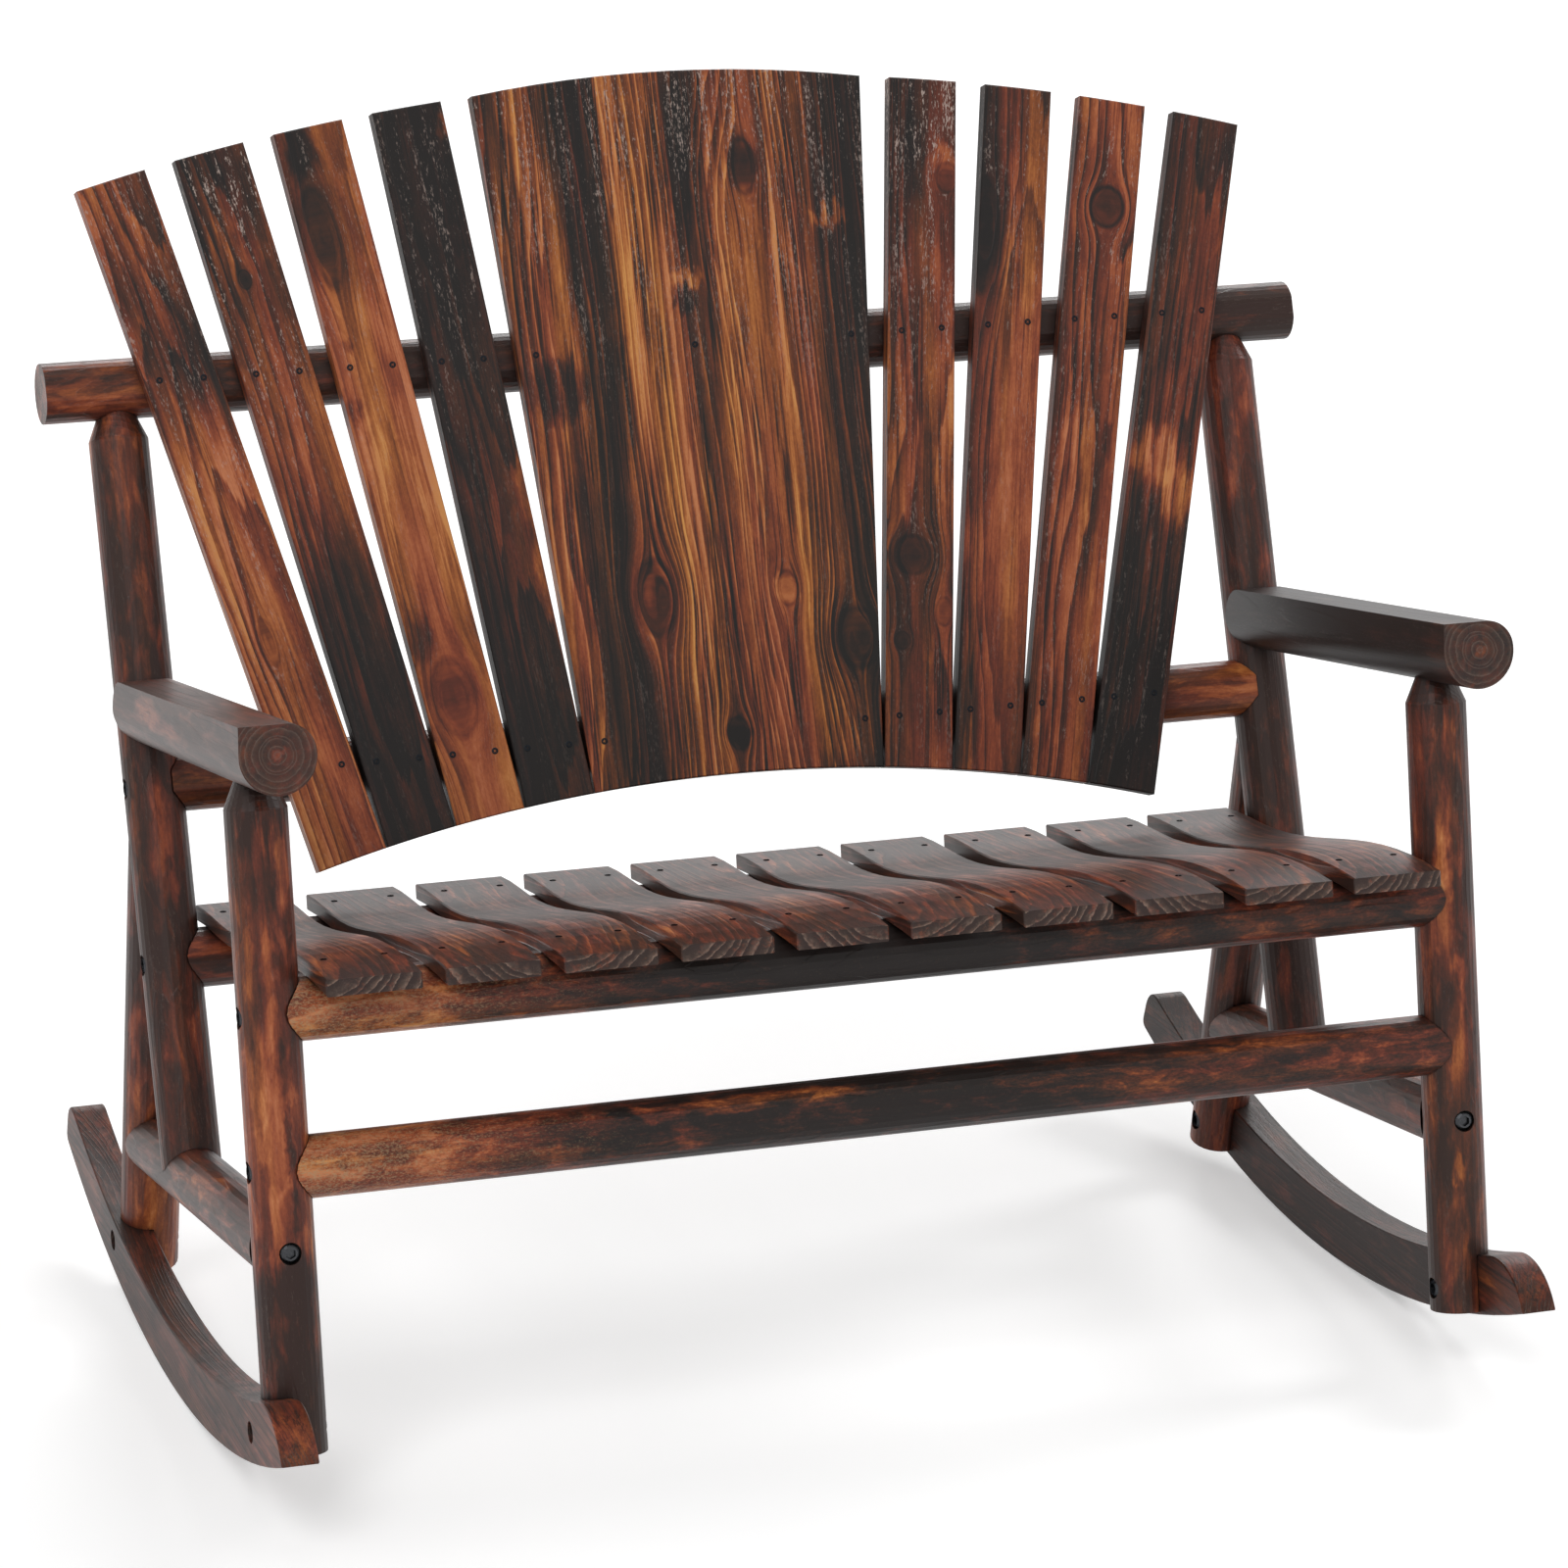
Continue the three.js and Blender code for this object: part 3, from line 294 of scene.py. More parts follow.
# %% Torched fir: colours, usual values and the marks of the flame
CHAR_STEPS = (0, 0.18, 0.34, 0.5, 0.68, 0.84, 1)
CHAR_RED = "#BE7650 #A45A38 #84412A #602E22 #40241C #291C19 #191514".split()
CHAR_GOLD = "#D0924F #B26E37 #8D5127 #653820 #41281C #291E19 #191614".split()
END_GRAIN = "#9A8172"
SOOT_AND_PAINTED_SHADE = "#120F0E"
PLAIN = {
    "seed": 0, "pith": (14, 52), "ring": 7, "wander": 36, "wander_length": 420,
    "lobed": 10, "knots": (), "eye": 0.3, "marks": (), "burn": [(0, 0.5)],
    "bands": [(0, 0.5)], "foot_bands": (), "taper": 0, "sway": 26, "ragged": 260,
    "cloud": 0.5, "cloud_wide": 36, "cloud_long": 100,
    "patch": 0.08, "patch_wide": 14, "patch_long": 70, "patch_soft": 0.05,
    "streak": 0.36, "streak_wide": 7, "streak_long": 240,
    "rings": 0.36, "lines": 0.2, "fibres": 0.28, "grit": 0.24, "deepest": 1, "gold": 0.4,
    "flecks": [(0, 0.12)], "fleck": "#B5A298", "fleck_long": 6.5, "fleck_soft": 0.13,
    "gathered": 0.55, "fuzz": 0, "end_char": 0.12, "end_pale": 0.4, "rough": 0.44, "shine": 0.24,
}
MARK_EDGE = (0.55, 1.2)  # a mark is full inside the first share of its oval and gone at the second
MARK_NOISE = (11, 34)
MARK_PUSH = (20, 20, 60)  # how far the edges of marks are pushed about, in millimetres


def moved_about(tree, place, seeded, wide, long, reach):
    """The place pushed about by a noise, up to half of reach millimetres each way."""
    noise = drawn_out(tree, seeded, wide, long, Detail=3, Roughness=0.6).outputs["Color"]
    centred = add(tree, "VectorMath", {
        0: noise, 1: [NOISE_MIDDLE] * 3}, operation="SUBTRACT").outputs[0]
    return add(tree, "VectorMath", {
        0: centred, 1: reach, 2: place}, operation="MULTIPLY_ADD").outputs[0]


def flame_marks(tree, place, marks):
    """Adds up ovals: (across, in thickness, along, half width, half length, char depth)."""
    total = 0
    for across, inward, along, wide, long, depth in marks:
        inside = add(tree, "Mapping", {
            "Vector": place, "Location": (across, inward, along), "Scale": (wide, wide, long),
        }, vector_type="TEXTURE").outputs[0]
        reach = add(tree, "VectorMath", {0: inside}, operation="LENGTH").outputs["Value"]
        full = add(tree, "MapRange", {
            "Value": reach, "From Min": MARK_EDGE[1], "From Max": MARK_EDGE[0],
        }, interpolation_type="SMOOTHSTEP").outputs[0]
        total = add(tree, "Math", {
            0: full, 1: depth, 2: total}, operation="MULTIPLY_ADD").outputs[0]
    return total


print("usual values of a torched piece:", len(PLAIN))

# %% [markdown]
# The flame is passed along a board in strokes, so it leaves light and dark stretches along the
# length and bands across the width. Both are colour ramps over the piece's own share of length
# and width. The bands can differ at the foot, and can taper with the board.

# %% Torched fir: stretches and bands of the flame
BANDS_CHANGE = (0.40, 0.58)  # the shares of the length between which the foot's bands end


def flame_strokes(tree, bent, seeded, size, look):
    """The char that the stretches give, what the bands give, and the share along the piece."""
    wavy = moved_about(tree, bent, seeded, look["streak_wide"], look["streak_long"],
                       (look["sway"], look["sway"], look["ragged"]))
    parts = add(tree, "SeparateXYZ", {0: wavy})
    share = add(tree, "MapRange", {
        "Value": parts.outputs["Z"], "From Min": -size[2] / 2, "From Max": size[2] / 2}).outputs[0]
    stretch = fill_ramp(add(tree, "ValToRGB", {"Fac": share}), look["burn"])
    narrowing = add(tree, "Math", {
        0: share, 1: -look["taper"], 2: 1 + look["taper"]}, operation="MULTIPLY_ADD").outputs[0]
    sideways = add(tree, "Math", {
        0: parts.outputs["X"], 1: narrowing}, operation="MULTIPLY").outputs[0]
    width_share = add(tree, "MapRange", {
        "Value": sideways, "From Min": -size[0] / 2, "From Max": size[0] / 2}).outputs[0]
    top_bands, foot_bands = (
        fill_ramp(add(tree, "ValToRGB", {"Fac": width_share}), stops)
        for stops in (look["bands"], look["foot_bands"] or look["bands"]))
    towards_foot = add(tree, "MapRange", {
        "Value": share, "From Min": BANDS_CHANGE[1], "From Max": BANDS_CHANGE[0]}).outputs[0]
    bands = add(tree, "Mix", {
        "Factor": towards_foot, "A": top_bands, "B": foot_bands,
    }, data_type="RGBA").outputs["Result"]
    return stretch, bands, share


print("the foot's bands end between", *BANDS_CHANGE)

# %% [markdown]
# Then come the natural layers, from large to small: clouds, orange patches that the brush
# cleared, streaks, growth rings, crisp burnt lines, fibres a millimetre wide and grit. Each is a
# noise or ring pattern with a strength of its own. They could be painted one over the other, but
# a plain sum lets a single ramp turn all of them into colour.

# %% Torched fir: depth of the char
BURNT_LINES = (3.4, 170)
LINE_EDGE = (0.50, 0.60)
LINED_PLACES = (24, 210)  # the lines come and go
LINES_FAINT, LINES_STRONG = 0.25, 1.4
PATCH_START = 0.55
FIBRES = (1.4, 22)
GRIT = (2, 4.5)


def char_depth(tree, bent, seeded, late, size, look):
    """The depth of the char, about 0 to 1, the share along the piece, the fibres and the marks."""
    stretch, bands, share = flame_strokes(tree, bent, seeded, size, look)
    marked = flame_marks(
        tree, moved_about(tree, bent, seeded, *MARK_NOISE, MARK_PUSH), look["marks"])
    cloud, patch_noise, streak = (
        drawn_out(tree, seeded, look[layer + "_wide"], look[layer + "_long"], Detail=3,
                  **extra).outputs["Fac"]
        for layer, extra in (("cloud", {"Distortion": 0.5}), ("patch", {"Distortion": 0.8}),
                             ("streak", {"Roughness": 0.62})))
    patch = add(tree, "MapRange", {
        "Value": patch_noise, "From Min": PATCH_START - look["patch_soft"],
        "From Max": PATCH_START + look["patch_soft"],
    }, interpolation_type="SMOOTHSTEP").outputs[0]
    lines = add(tree, "MapRange", {
        "Value": drawn_out(tree, seeded, *BURNT_LINES, Roughness=0.6).outputs["Fac"],
        "From Min": LINE_EDGE[0], "From Max": LINE_EDGE[1],
    }, interpolation_type="SMOOTHSTEP").outputs[0]
    lined = add(tree, "MapRange", {
        "Value": drawn_out(tree, seeded, *LINED_PLACES, Detail=1).outputs["Fac"],
        "From Min": 0.42, "From Max": 0.6, "To Min": LINES_FAINT, "To Max": LINES_STRONG,
    }).outputs[0]
    lines = add(tree, "Math", {0: lines, 1: lined}, operation="MULTIPLY").outputs[0]
    fibre = drawn_out(tree, seeded, *FIBRES, Detail=3, Roughness=0.65).outputs["Fac"]
    grit = drawn_out(tree, seeded, *GRIT, Roughness=0.7).outputs["Fac"]
    layers = [  # the layer, its strength, and its value where it changes nothing
        (bands, 1, 0.5), (marked, 1, 0), (cloud, look["cloud"], 0.5),
        (patch, -look["patch"], 0.4), (streak, look["streak"], 0.5), (late, look["rings"], 0.45),
        (lines, look["lines"], 0.3), (fibre, look["fibres"], 0.5), (grit, look["grit"], 0.5),
    ]
    depth = stretch
    for layer, strength, neutral in layers:
        shifted = add(tree, "Math", {0: layer, 1: neutral}, operation="SUBTRACT").outputs[0]
        depth = add(tree, "Math", {
            0: shifted, 1: strength, 2: depth}, operation="MULTIPLY_ADD").outputs[0]
    return depth, share, fibre, marked


print("burnt lines, millimetres wide and long:", BURNT_LINES)

# %% [markdown]
# Under the char the fir is golden in some places and reddish in others, as sapwood and heartwood
# are, and a spot that the flame missed is golden. So each depth has two colours, one from either
# ramp, and a slow noise mixes them.

# %% Torched fir: from depth to colour
TONE = (22, 320)
TONE_REACH = 0.45
GOLD_IN_MARKS = 0.8  # a light mark is golden, a dark one isn't


def char_colour(tree, depth, seeded, marked, look):
    """Golden or reddish fir, from bare wood to charcoal."""
    red, gold = (fill_ramp(add(tree, "ValToRGB", {"Fac": depth}), zip(CHAR_STEPS, colours))
                 for colours in (CHAR_RED, CHAR_GOLD))
    tone = drawn_out(tree, seeded, *TONE, Detail=1).outputs["Fac"]
    golden = add(tree, "MapRange", {
        "Value": tone, "From Min": 0.35, "From Max": 0.65,
        "To Min": look["gold"] - TONE_REACH, "To Max": look["gold"] + TONE_REACH}).outputs[0]
    golden = add(tree, "Math", {
        0: marked, 1: -GOLD_IN_MARKS, 2: golden}, operation="MULTIPLY_ADD").outputs[0]
    return add(tree, "Mix", {
        "Factor": golden, "A": red, "B": gold}, data_type="RGBA").outputs["Result"]


print("steps from bare wood to charcoal:", len(CHAR_STEPS))

# %% [markdown]
# Pale flecks lie where brushed fibres stand up, mostly on the upper parts of the back. Their colour
# is partly the pale fibre and partly a painted highlight, the glint of the varnish on those fibres.
# Real ones are torn fibres, far too many to model. A fine noise with a sharp threshold draws them,
# and a second, wider noise gathers them in clusters.

# %% Torched fir: pale fibre flecks with painted glints
FLECK_WIDE = 1.7
FLECK_CLUSTERS = (7, 90)
FLECK_START = 0.6
KNOT_CLEAR = 0.3  # flecks fade out before a knot is this dark


def flecks_and_painted_glints(tree, seeded, share, eyes, look):
    """How fully a pale fleck, partly a painted highlight, covers the wood. There are none in a
    knot.
    """
    amount = fill_ramp(add(tree, "ValToRGB", {"Fac": share}), look["flecks"])
    speckle = drawn_out(tree, seeded, FLECK_WIDE, look["fleck_long"], Detail=3, Roughness=0.75)
    clusters = drawn_out(tree, seeded, *FLECK_CLUSTERS)
    gathered = add(tree, "Math", {
        0: clusters.outputs["Fac"], 1: look["gathered"], 2: speckle.outputs["Fac"],
    }, operation="MULTIPLY_ADD").outputs[0]
    # painted highlight: part of each pale fleck stands for the glint of the varnish on a fibre
    fleck_field = add(tree, "Math", {
        0: amount, 1: look["fuzz"], 2: gathered}, operation="MULTIPLY_ADD").outputs[0]
    threshold = FLECK_START + NOISE_MIDDLE * look["gathered"]
    speck = add(tree, "MapRange", {
        "Value": fleck_field, "From Min": threshold, "From Max": threshold + look["fleck_soft"],
    }, interpolation_type="SMOOTHSTEP").outputs[0]
    pale = add(tree, "Math", {0: speck, 1: amount}, operation="MULTIPLY").outputs[0]
    if eyes is not None:
        outside = add(tree, "MapRange", {
            "Value": eyes, "From Min": KNOT_CLEAR, "From Max": 0}).outputs[0]
        pale = add(tree, "Math", {0: pale, 1: outside}, operation="MULTIPLY").outputs[0]
    return pale


print("flecks, millimetres wide and long:", FLECK_WIDE, PLAIN["fleck_long"])

# %% [markdown]
# The sawn ends show the rings paler, except where the saw smeared them. A face that looks along
# the grain is such an end. A brush can't reach into joints and bolt holes, so soot stays there.
# The ambient occlusion node darkens every surface that has another close by, joints, bolt holes and
# the rockers' feet over the floor alike: partly that soot, partly painted shade.

# %% Torched fir: sawn ends, and soot with painted shade in corners
END_FACING = (0.75, 0.9)  # cosines of the grain to the face, from the side of a log to its end
SMEARS = (9, 9)
SMEARED = 0.15
CORNER_REACH = 0.012
OPEN_SKY, DEEP_CORNER = 0.85, 0.3
SOOT_AND_SHADE_COVER = 0.9


def sawn_share(tree, along):
    """1 on a sawn end and 0 on a face that runs along the grain."""
    facing = add(tree, "NewGeometry").outputs["Normal"]
    lengthwise = add(tree, "VectorMath", {
        0: facing, 1: along}, operation="DOT_PRODUCT").outputs["Value"]
    either_end = add(tree, "Math", {0: lengthwise}, operation="ABSOLUTE").outputs[0]
    return add(tree, "MapRange", {
        "Value": either_end, "From Min": END_FACING[0], "From Max": END_FACING[1]}).outputs[0]


def ringed_ends(tree, seeded, late, sawn, look):
    """How fully a pale ring covers the wood, on the sawn ends alone."""
    narrow = add(tree, "Math", {0: late, 1: 2}, operation="POWER").outputs[0]
    kept = add(tree, "MapRange", {
        "Value": drawn_out(tree, seeded, *SMEARS, Detail=3, Roughness=0.7).outputs["Fac"],
        "From Min": 0.42, "From Max": 0.6, "To Min": SMEARED, "To Max": look["end_pale"],
    }).outputs[0]
    narrow = add(tree, "Math", {0: narrow, 1: kept}, operation="MULTIPLY").outputs[0]
    return add(tree, "Math", {0: narrow, 1: sawn}, operation="MULTIPLY").outputs[0]


def soot_and_painted_shade_in_corners(tree):
    """How fully soot and painted shade cover the wood, where a piece, face or the floor is close.
    """
    # painted shade: darkening near any close surface stands in for the shade that falls there
    open_sky = add(tree, "AmbientOcclusion", {"Distance": CORNER_REACH}, samples=4).outputs["AO"]
    return add(tree, "MapRange", {
        "Value": open_sky, "From Min": OPEN_SKY, "From Max": DEEP_CORNER, "To Max": SOOT_AND_SHADE_COVER,
    }).outputs[0]


print("corners keep their soot within", CORNER_REACH * METRE_IN_MM, "mm")

# %% [markdown]
# The parts are put together into one material per piece, because no two trees are alike. The
# varnish is satin, a little duller where the char is deep, and the brushed spring wood lies lower
# than the late rings. That relief is finer than any mesh should be, so it is a bump.

# %% Torched fir: the finished material
SEED_STEPS = (131, 71, 911)  # millimetres that a seed of 1 moves every pattern by
FIBRE_RELIEF = 0.6
RELIEF_METRES = 0.0006
SATIN_SPREAD = (-0.05, 0.07)  # how the roughness shifts from bare wood to charcoal


def torched_fir(name, grain, changes):
    """One piece's wood. changes holds the sizes and depths that make this piece differ."""
    middle, turn, size, along = grain
    look = dict(PLAIN, **changes)
    material, tree, shader = new_material(name)
    local = piece_millimetres(tree, middle, turn)
    bent, eyes = bend_round_knots(tree, local, look["knots"])
    seeded = add(tree, "VectorMath", {
        0: bent, 1: [step * look["seed"] for step in SEED_STEPS]}, operation="ADD").outputs[0]
    late = growth_rings(tree, bent, seeded, look)
    depth, share, fibre, marked = char_depth(tree, bent, seeded, late, size, look)
    if eyes is not None:
        depth = add(tree, "Math", {
            0: eyes, 1: look["eye"], 2: depth}, operation="MULTIPLY_ADD").outputs[0]
    sawn = sawn_share(tree, along)
    depth = add(tree, "Math", {
        0: sawn, 1: look["end_char"], 2: depth}, operation="MULTIPLY_ADD").outputs[0]
    depth = add(tree, "Math", {0: depth, 1: look["deepest"]}, operation="MINIMUM").outputs[0]
    wood = char_colour(tree, depth, seeded, marked, look)
    # the last cover is soot in the joints together with painted shade near any close surface
    for cover, colour in ((flecks_and_painted_glints(tree, seeded, share, eyes, look), look["fleck"]),
                          (ringed_ends(tree, seeded, late, sawn, look), END_GRAIN),
                          (soot_and_painted_shade_in_corners(tree), SOOT_AND_PAINTED_SHADE)):
        wood = add(tree, "Mix", {
            "Factor": cover, "A": wood, "B": linear(colour)}, data_type="RGBA").outputs["Result"]
    relief = add(tree, "Math", {
        0: fibre, 1: FIBRE_RELIEF, 2: late}, operation="MULTIPLY_ADD").outputs[0]
    bump = add(tree, "Bump", {
        "Height": relief, "Strength": 0.4, "Distance": RELIEF_METRES}).outputs[0]
    bare, charred = (look["rough"] + shift for shift in SATIN_SPREAD)
    rough = add(tree, "MapRange", {"Value": depth, "To Min": bare, "To Max": charred}).outputs[0]
    tree.links.new(wood, shader.inputs["Base Color"])
    tree.links.new(bump, shader.inputs["Normal"])
    tree.links.new(rough, shader.inputs["Roughness"])
    shader.inputs["IOR"].default_value = 1.5
    shader.inputs["Specular IOR Level"].default_value = look["shine"]
    return material


def dress(name, changes, towards=UP):
    """Gives one CAD piece its own torched wood."""
    nodes[name].data.materials[0] = torched_fir(
        "torched_fir_" + name, grain_frame(name, towards), changes)


print("a seed of 1 moves the patterns by", SEED_STEPS, "mm")

# %% [markdown]
# The back is what the eye lands on. Its boards are plain-sawn from different trees, so each one
# gets its own char, from dark to light along its length, and its own knots. Knots are given in
# millimetres from the board's middle.

# %% Back boards
BACK_BOARDS = {
    "left_back_slat_4": {
        "seed": 1.3, "gold": 0.12, "fuzz": 0.04, "flecks": [(0.2, 0.15), (0.45, 0.4), (0.9, 0.5)],
        "burn": [(0, 0.3), (0.3, 0.34), (0.42, 0.22), (0.58, 0.3), (0.7, 0.62), (0.86, 0.66),
                 (0.94, 0.52), (1, 0.5)],
        "bands": [(0, 0.45), (0.6, 0.5), (1, 0.6)], "rings": 0.4, "lines": 0.12,
        "knots": [(-6, -9, -120, 9, 30, 1.3)], "eye": 0.1,
    },
    "left_back_slat_3": {
        "seed": 2.1, "gold": 0.15, "flecks": [(0.4, 0.05), (0.6, 0.5), (0.9, 1)],
        "burn": [(0, 0.98), (0.28, 0.92), (0.4, 0.68), (0.5, 0.42), (0.66, 0.4), (0.78, 0.6),
                 (0.85, 0.5), (0.93, 0.78), (1, 0.78)],
        "bands": [(0, 0.62), (0.5, 0.5), (1, 0.42)],
        "knots": [(-4, -9, 215, 8, 12, 1.2)], "lines": 0.12,
    },
    "left_back_slat_2": {
        "seed": 3.7, "gold": 0.25, "flecks": [(0.4, 0.1), (0.9, 0.35)],
        "burn": [(0, 0.34), (0.14, 0.32), (0.26, 0.38), (0.34, 0.24), (0.52, 0.14), (0.7, 0.22),
                 (0.8, 0.42), (1, 0.48)],
        "bands": [(0, 0.58), (0.6, 0.52), (1, 0.38)],
        "rings": 0.22, "lines": 0.12, "streak": 0.26, "fibres": 0.2,
        "knots": [(-14, -9, 235, 20, 62, 1.2), (-4, -9, -223, 27, 48, 1.2)], "eye": 0.16,
        "marks": [(-14, 0, 235, 19, 62, 0.1), (-14, 0, 325, 18, 45, 0.4),
                  (-18, 0, 126, 10, 15, 0.3), (-28, 0, 65, 11, 26, 0.3),
                  (-14, 0, 15, 17, 40, -0.14), (-20, 0, -165, 16, 34, 0.26),
                  (-4, 0, -223, 19, 32, 0.12)],
    },
    "left_back_slat_1": {
        "seed": 4.4, "gold": 0.1, "flecks": [(0.4, 0.05), (0.8, 0.5), (1, 0.3)],
        "burn": [(0, 0.98), (0.2, 0.86), (0.42, 0.76), (0.6, 0.86), (0.8, 1), (1, 0.98)],
        "bands": [(0, 0.56), (0.7, 0.5), (1, 0.42)], "rings": 0.3,
        "marks": [(29, 0, 322, 12, 19, -0.5), (3, 0, -50, 3, 190, -0.5),
                  (36, 0, -90, 14, 130, -0.3), (-26, 0, -194, 8, 13, -0.35)],
    },
    "back_centre_board": {
        "seed": 5.2, "gold": 0.5, "ring": 10, "pith": (-310, 70), "wander": 90,
        "wander_length": 480, "rings": -0.42, "cloud": 0.2, "cloud_wide": 24, "taper": 0.35,
        "lines": 0.3, "streak": 0.66, "streak_wide": 6, "streak_long": 340, "fibres": 0.26,
        "sway": 10, "ragged": 110, "fuzz": 0.04,
        "flecks": [(0.5, 0.1), (0.75, 0.4), (1, 0.8)],
        "burn": [(0, 0.56), (0.2, 0.5), (0.55, 0.44), (0.75, 0.48), (1, 0.58)],
        "bands": [(0, 0.62), (0.06, 0.56), (0.08, 0.28), (0.15, 0.34), (0.18, 0.86),
                  (0.29, 0.86), (0.315, 0.16), (0.35, 0.16), (0.37, 0.56), (0.39, 0.32),
                  (0.46, 0.42), (0.485, 0.7), (0.56, 0.7), (0.59, 0.3), (0.66, 0.38),
                  (0.7, 0.32), (0.725, 0.5), (0.75, 0.24), (0.78, 0.48), (0.85, 0.48),
                  (0.89, 0.84), (1, 0.96)],
        "foot_bands": [(0, 0.36), (0.07, 0.46), (0.11, 0.8), (0.22, 0.88), (0.26, 0.56),
                       (0.36, 0.5), (0.41, 0.26), (0.46, 0.28), (0.5, 0.58), (0.56, 0.5),
                       (0.6, 0.32), (0.7, 0.38), (0.745, 0.5), (0.765, 0.18), (0.79, 0.46),
                       (0.82, 0.56), (0.9, 0.6), (0.95, 0.82), (1, 0.84)],
        "marks": [(-140, 0, 43, 32, 36, 0.4), (2, 0, 250, 18, 100, 0.3), (0, 0, 142, 20, 14, -0.35),
                  (-7, 0, 118, 16, 14, 0.3), (68, 0, 250, 15, 36, 0.4), (150, 0, 196, 22, 14, -0.4),
                  (-100, 0, -300, 9, 90, 0.4), (-62, 0, -290, 30, 70, 0.06),
                  (68, 0, -166, 12, 18, -0.25), (130, 0, -215, 24, 34, 0.1),
                  (120, 0, -300, 34, 60, -0.16), (3, 0, -303, 12, 18, 0.4)],
        "knots": [(-66, -9, -165, 26, 46, 1.3), (68, -9, -166, 13, 22, 1.2),
                  (135, -9, -220, 26, 38, 1.25), (3, -9, -303, 14, 20, 1.2),
                  (68, -9, 250, 14, 36, 1.2)], "eye": 0.2,
    },
    "right_back_slat_1": {
        "seed": 6.4, "gold": 0.2, "fuzz": 0.04, "flecks": [(0.2, 0.15), (0.75, 0.5), (1, 1)],
        "burn": [(0, 0.52), (0.14, 0.6), (0.3, 0.64), (0.38, 0.52), (0.5, 0.34), (0.62, 0.48),
                 (0.8, 0.76), (1, 0.76)],
        "bands": [(0, 0.6), (0.5, 0.5), (1, 0.42)],
        "knots": [(25, -9, 245, 14, 19, 1.2), (-8, -9, -132, 24, 24, 1.1),
                  (-18, -9, -217, 10, 11, 1.2), (25, -9, -187, 11, 18, 1.2)], "eye": 0.15,
        "marks": [(25, 0, -187, 7, 13, -0.3), (-18, 0, -217, 7, 8, -0.25),
                  (24, 0, 262, 14, 30, -0.4), (-8, 0, 270, 16, 60, 0.2)],
    },
    "right_back_slat_2": {
        "seed": 7.1, "gold": 0.3, "flecks": [(0.3, 0.12), (0.9, 0.4)], "lines": 0.16,
        "burn": [(0, 0.54), (0.3, 0.42), (0.6, 0.36), (0.8, 0.46), (1, 0.58)],
        "bands": [(0, 0.76), (0.22, 0.58), (0.4, 0.46), (1, 0.5)], "rings": 0.3,
        "knots": [(-30, -9, 190, 20, 70, 1.2)], "eye": 0.15,
        "marks": [(-26, 0, 235, 22, 110, 0.28), (20, 0, 160, 14, 60, -0.1)],
    },
    "right_back_slat_3": {
        "seed": 8.9, "gold": 0.08, "flecks": [(0.3, 0.25), (0.8, 0.5)], "ring": 6,
        "burn": [(0, 0.52), (0.3, 0.48), (0.5, 0.42), (0.6, 0.52), (0.8, 0.5), (1, 0.46)],
        "bands": [(0, 0.72), (0.18, 0.5), (1, 0.5)], "rings": 0.5,
        "knots": [(3, -9, 234, 22, 26, 1.3)], "eye": 0.4,
        "marks": [(-12, 0, -3, 20, 40, -0.2), (24, 0, 2, 9, 42, 0.3), (-30, 0, 250, 7, 30, 0.25),
                  (26, 0, 200, 9, 26, 0.25)],
    },
    "right_back_slat_4": {
        "seed": 9.5, "gold": 0.1, "flecks": [(0.3, 0.15), (1, 0.2)],
        "burn": [(0, 0.98), (0.28, 0.88), (0.38, 0.78), (0.43, 0.62), (0.5, 0.54), (0.56, 0.62),
                 (0.7, 0.7), (1, 0.72)],
        "bands": [(0, 0.6), (0.5, 0.5), (1, 0.45)],
        "marks": [(-8, 0, -6, 34, 34, -0.36), (18, 0, -40, 22, 38, -0.36),
                  (1, 0, 160, 4, 190, -0.3), (16, 0, 190, 4, 160, -0.3)],
    },
}
for name, changes in BACK_BOARDS.items():
    dress(name, changes)
print("back boards:", len(BACK_BOARDS))

# %% [markdown]
# The seat slats are darker and redder. Their tops are cut in a wave, so the plain-sawn rings come
# out as long orange arches on the front swell, and the sawn front ends show them at a slant.

# %% Seat slats
SEAT_SLATS = 10
PITH_ACROSS = (-38, -62, 52)  # the slats are cut from three trees, beside the pith
for count in range(1, SEAT_SLATS + 1):
    tree_of_three = count % len(PITH_ACROSS)
    dress(f"seat_slat_{count}", {
        "seed": 20 + tree_of_three * 1.7 + count * 0.01, "gold": 0.3, "ring": 8, "lobed": 9,
        "pith": (PITH_ACROSS[tree_of_three], 62), "wander": 26, "wander_length": 300,
        "burn": [(0, 0.68), (0.45, 0.72), (0.66, 0.52), (0.85, 0.52), (0.96, 0.64), (1, 0.72)],
        "cloud": 0.6, "cloud_long": 110, "rings": -0.24, "streak": 0.76, "streak_wide": 8,
        "patch": 0.14, "lines": 0.16, "fibres": 0.3, "grit": 0.2, "flecks": [(0, 0.05)],
        "end_pale": 0.6, "rough": 0.38, "shine": 0.3, "deepest": 0.82,
    }, FORWARD)
print("seat slats:", SEAT_SLATS)

# %% [markdown]
# The round logs are small trees, turned to one thickness, so the pith is near the middle and the
# skin shows few rings. What shows is the flame: dark smoky clouds, orange patches with a crisp
# edge, and a fuzzy golden grain where the flame was quick. All logs share one set of values, and
# each changes a few of them.

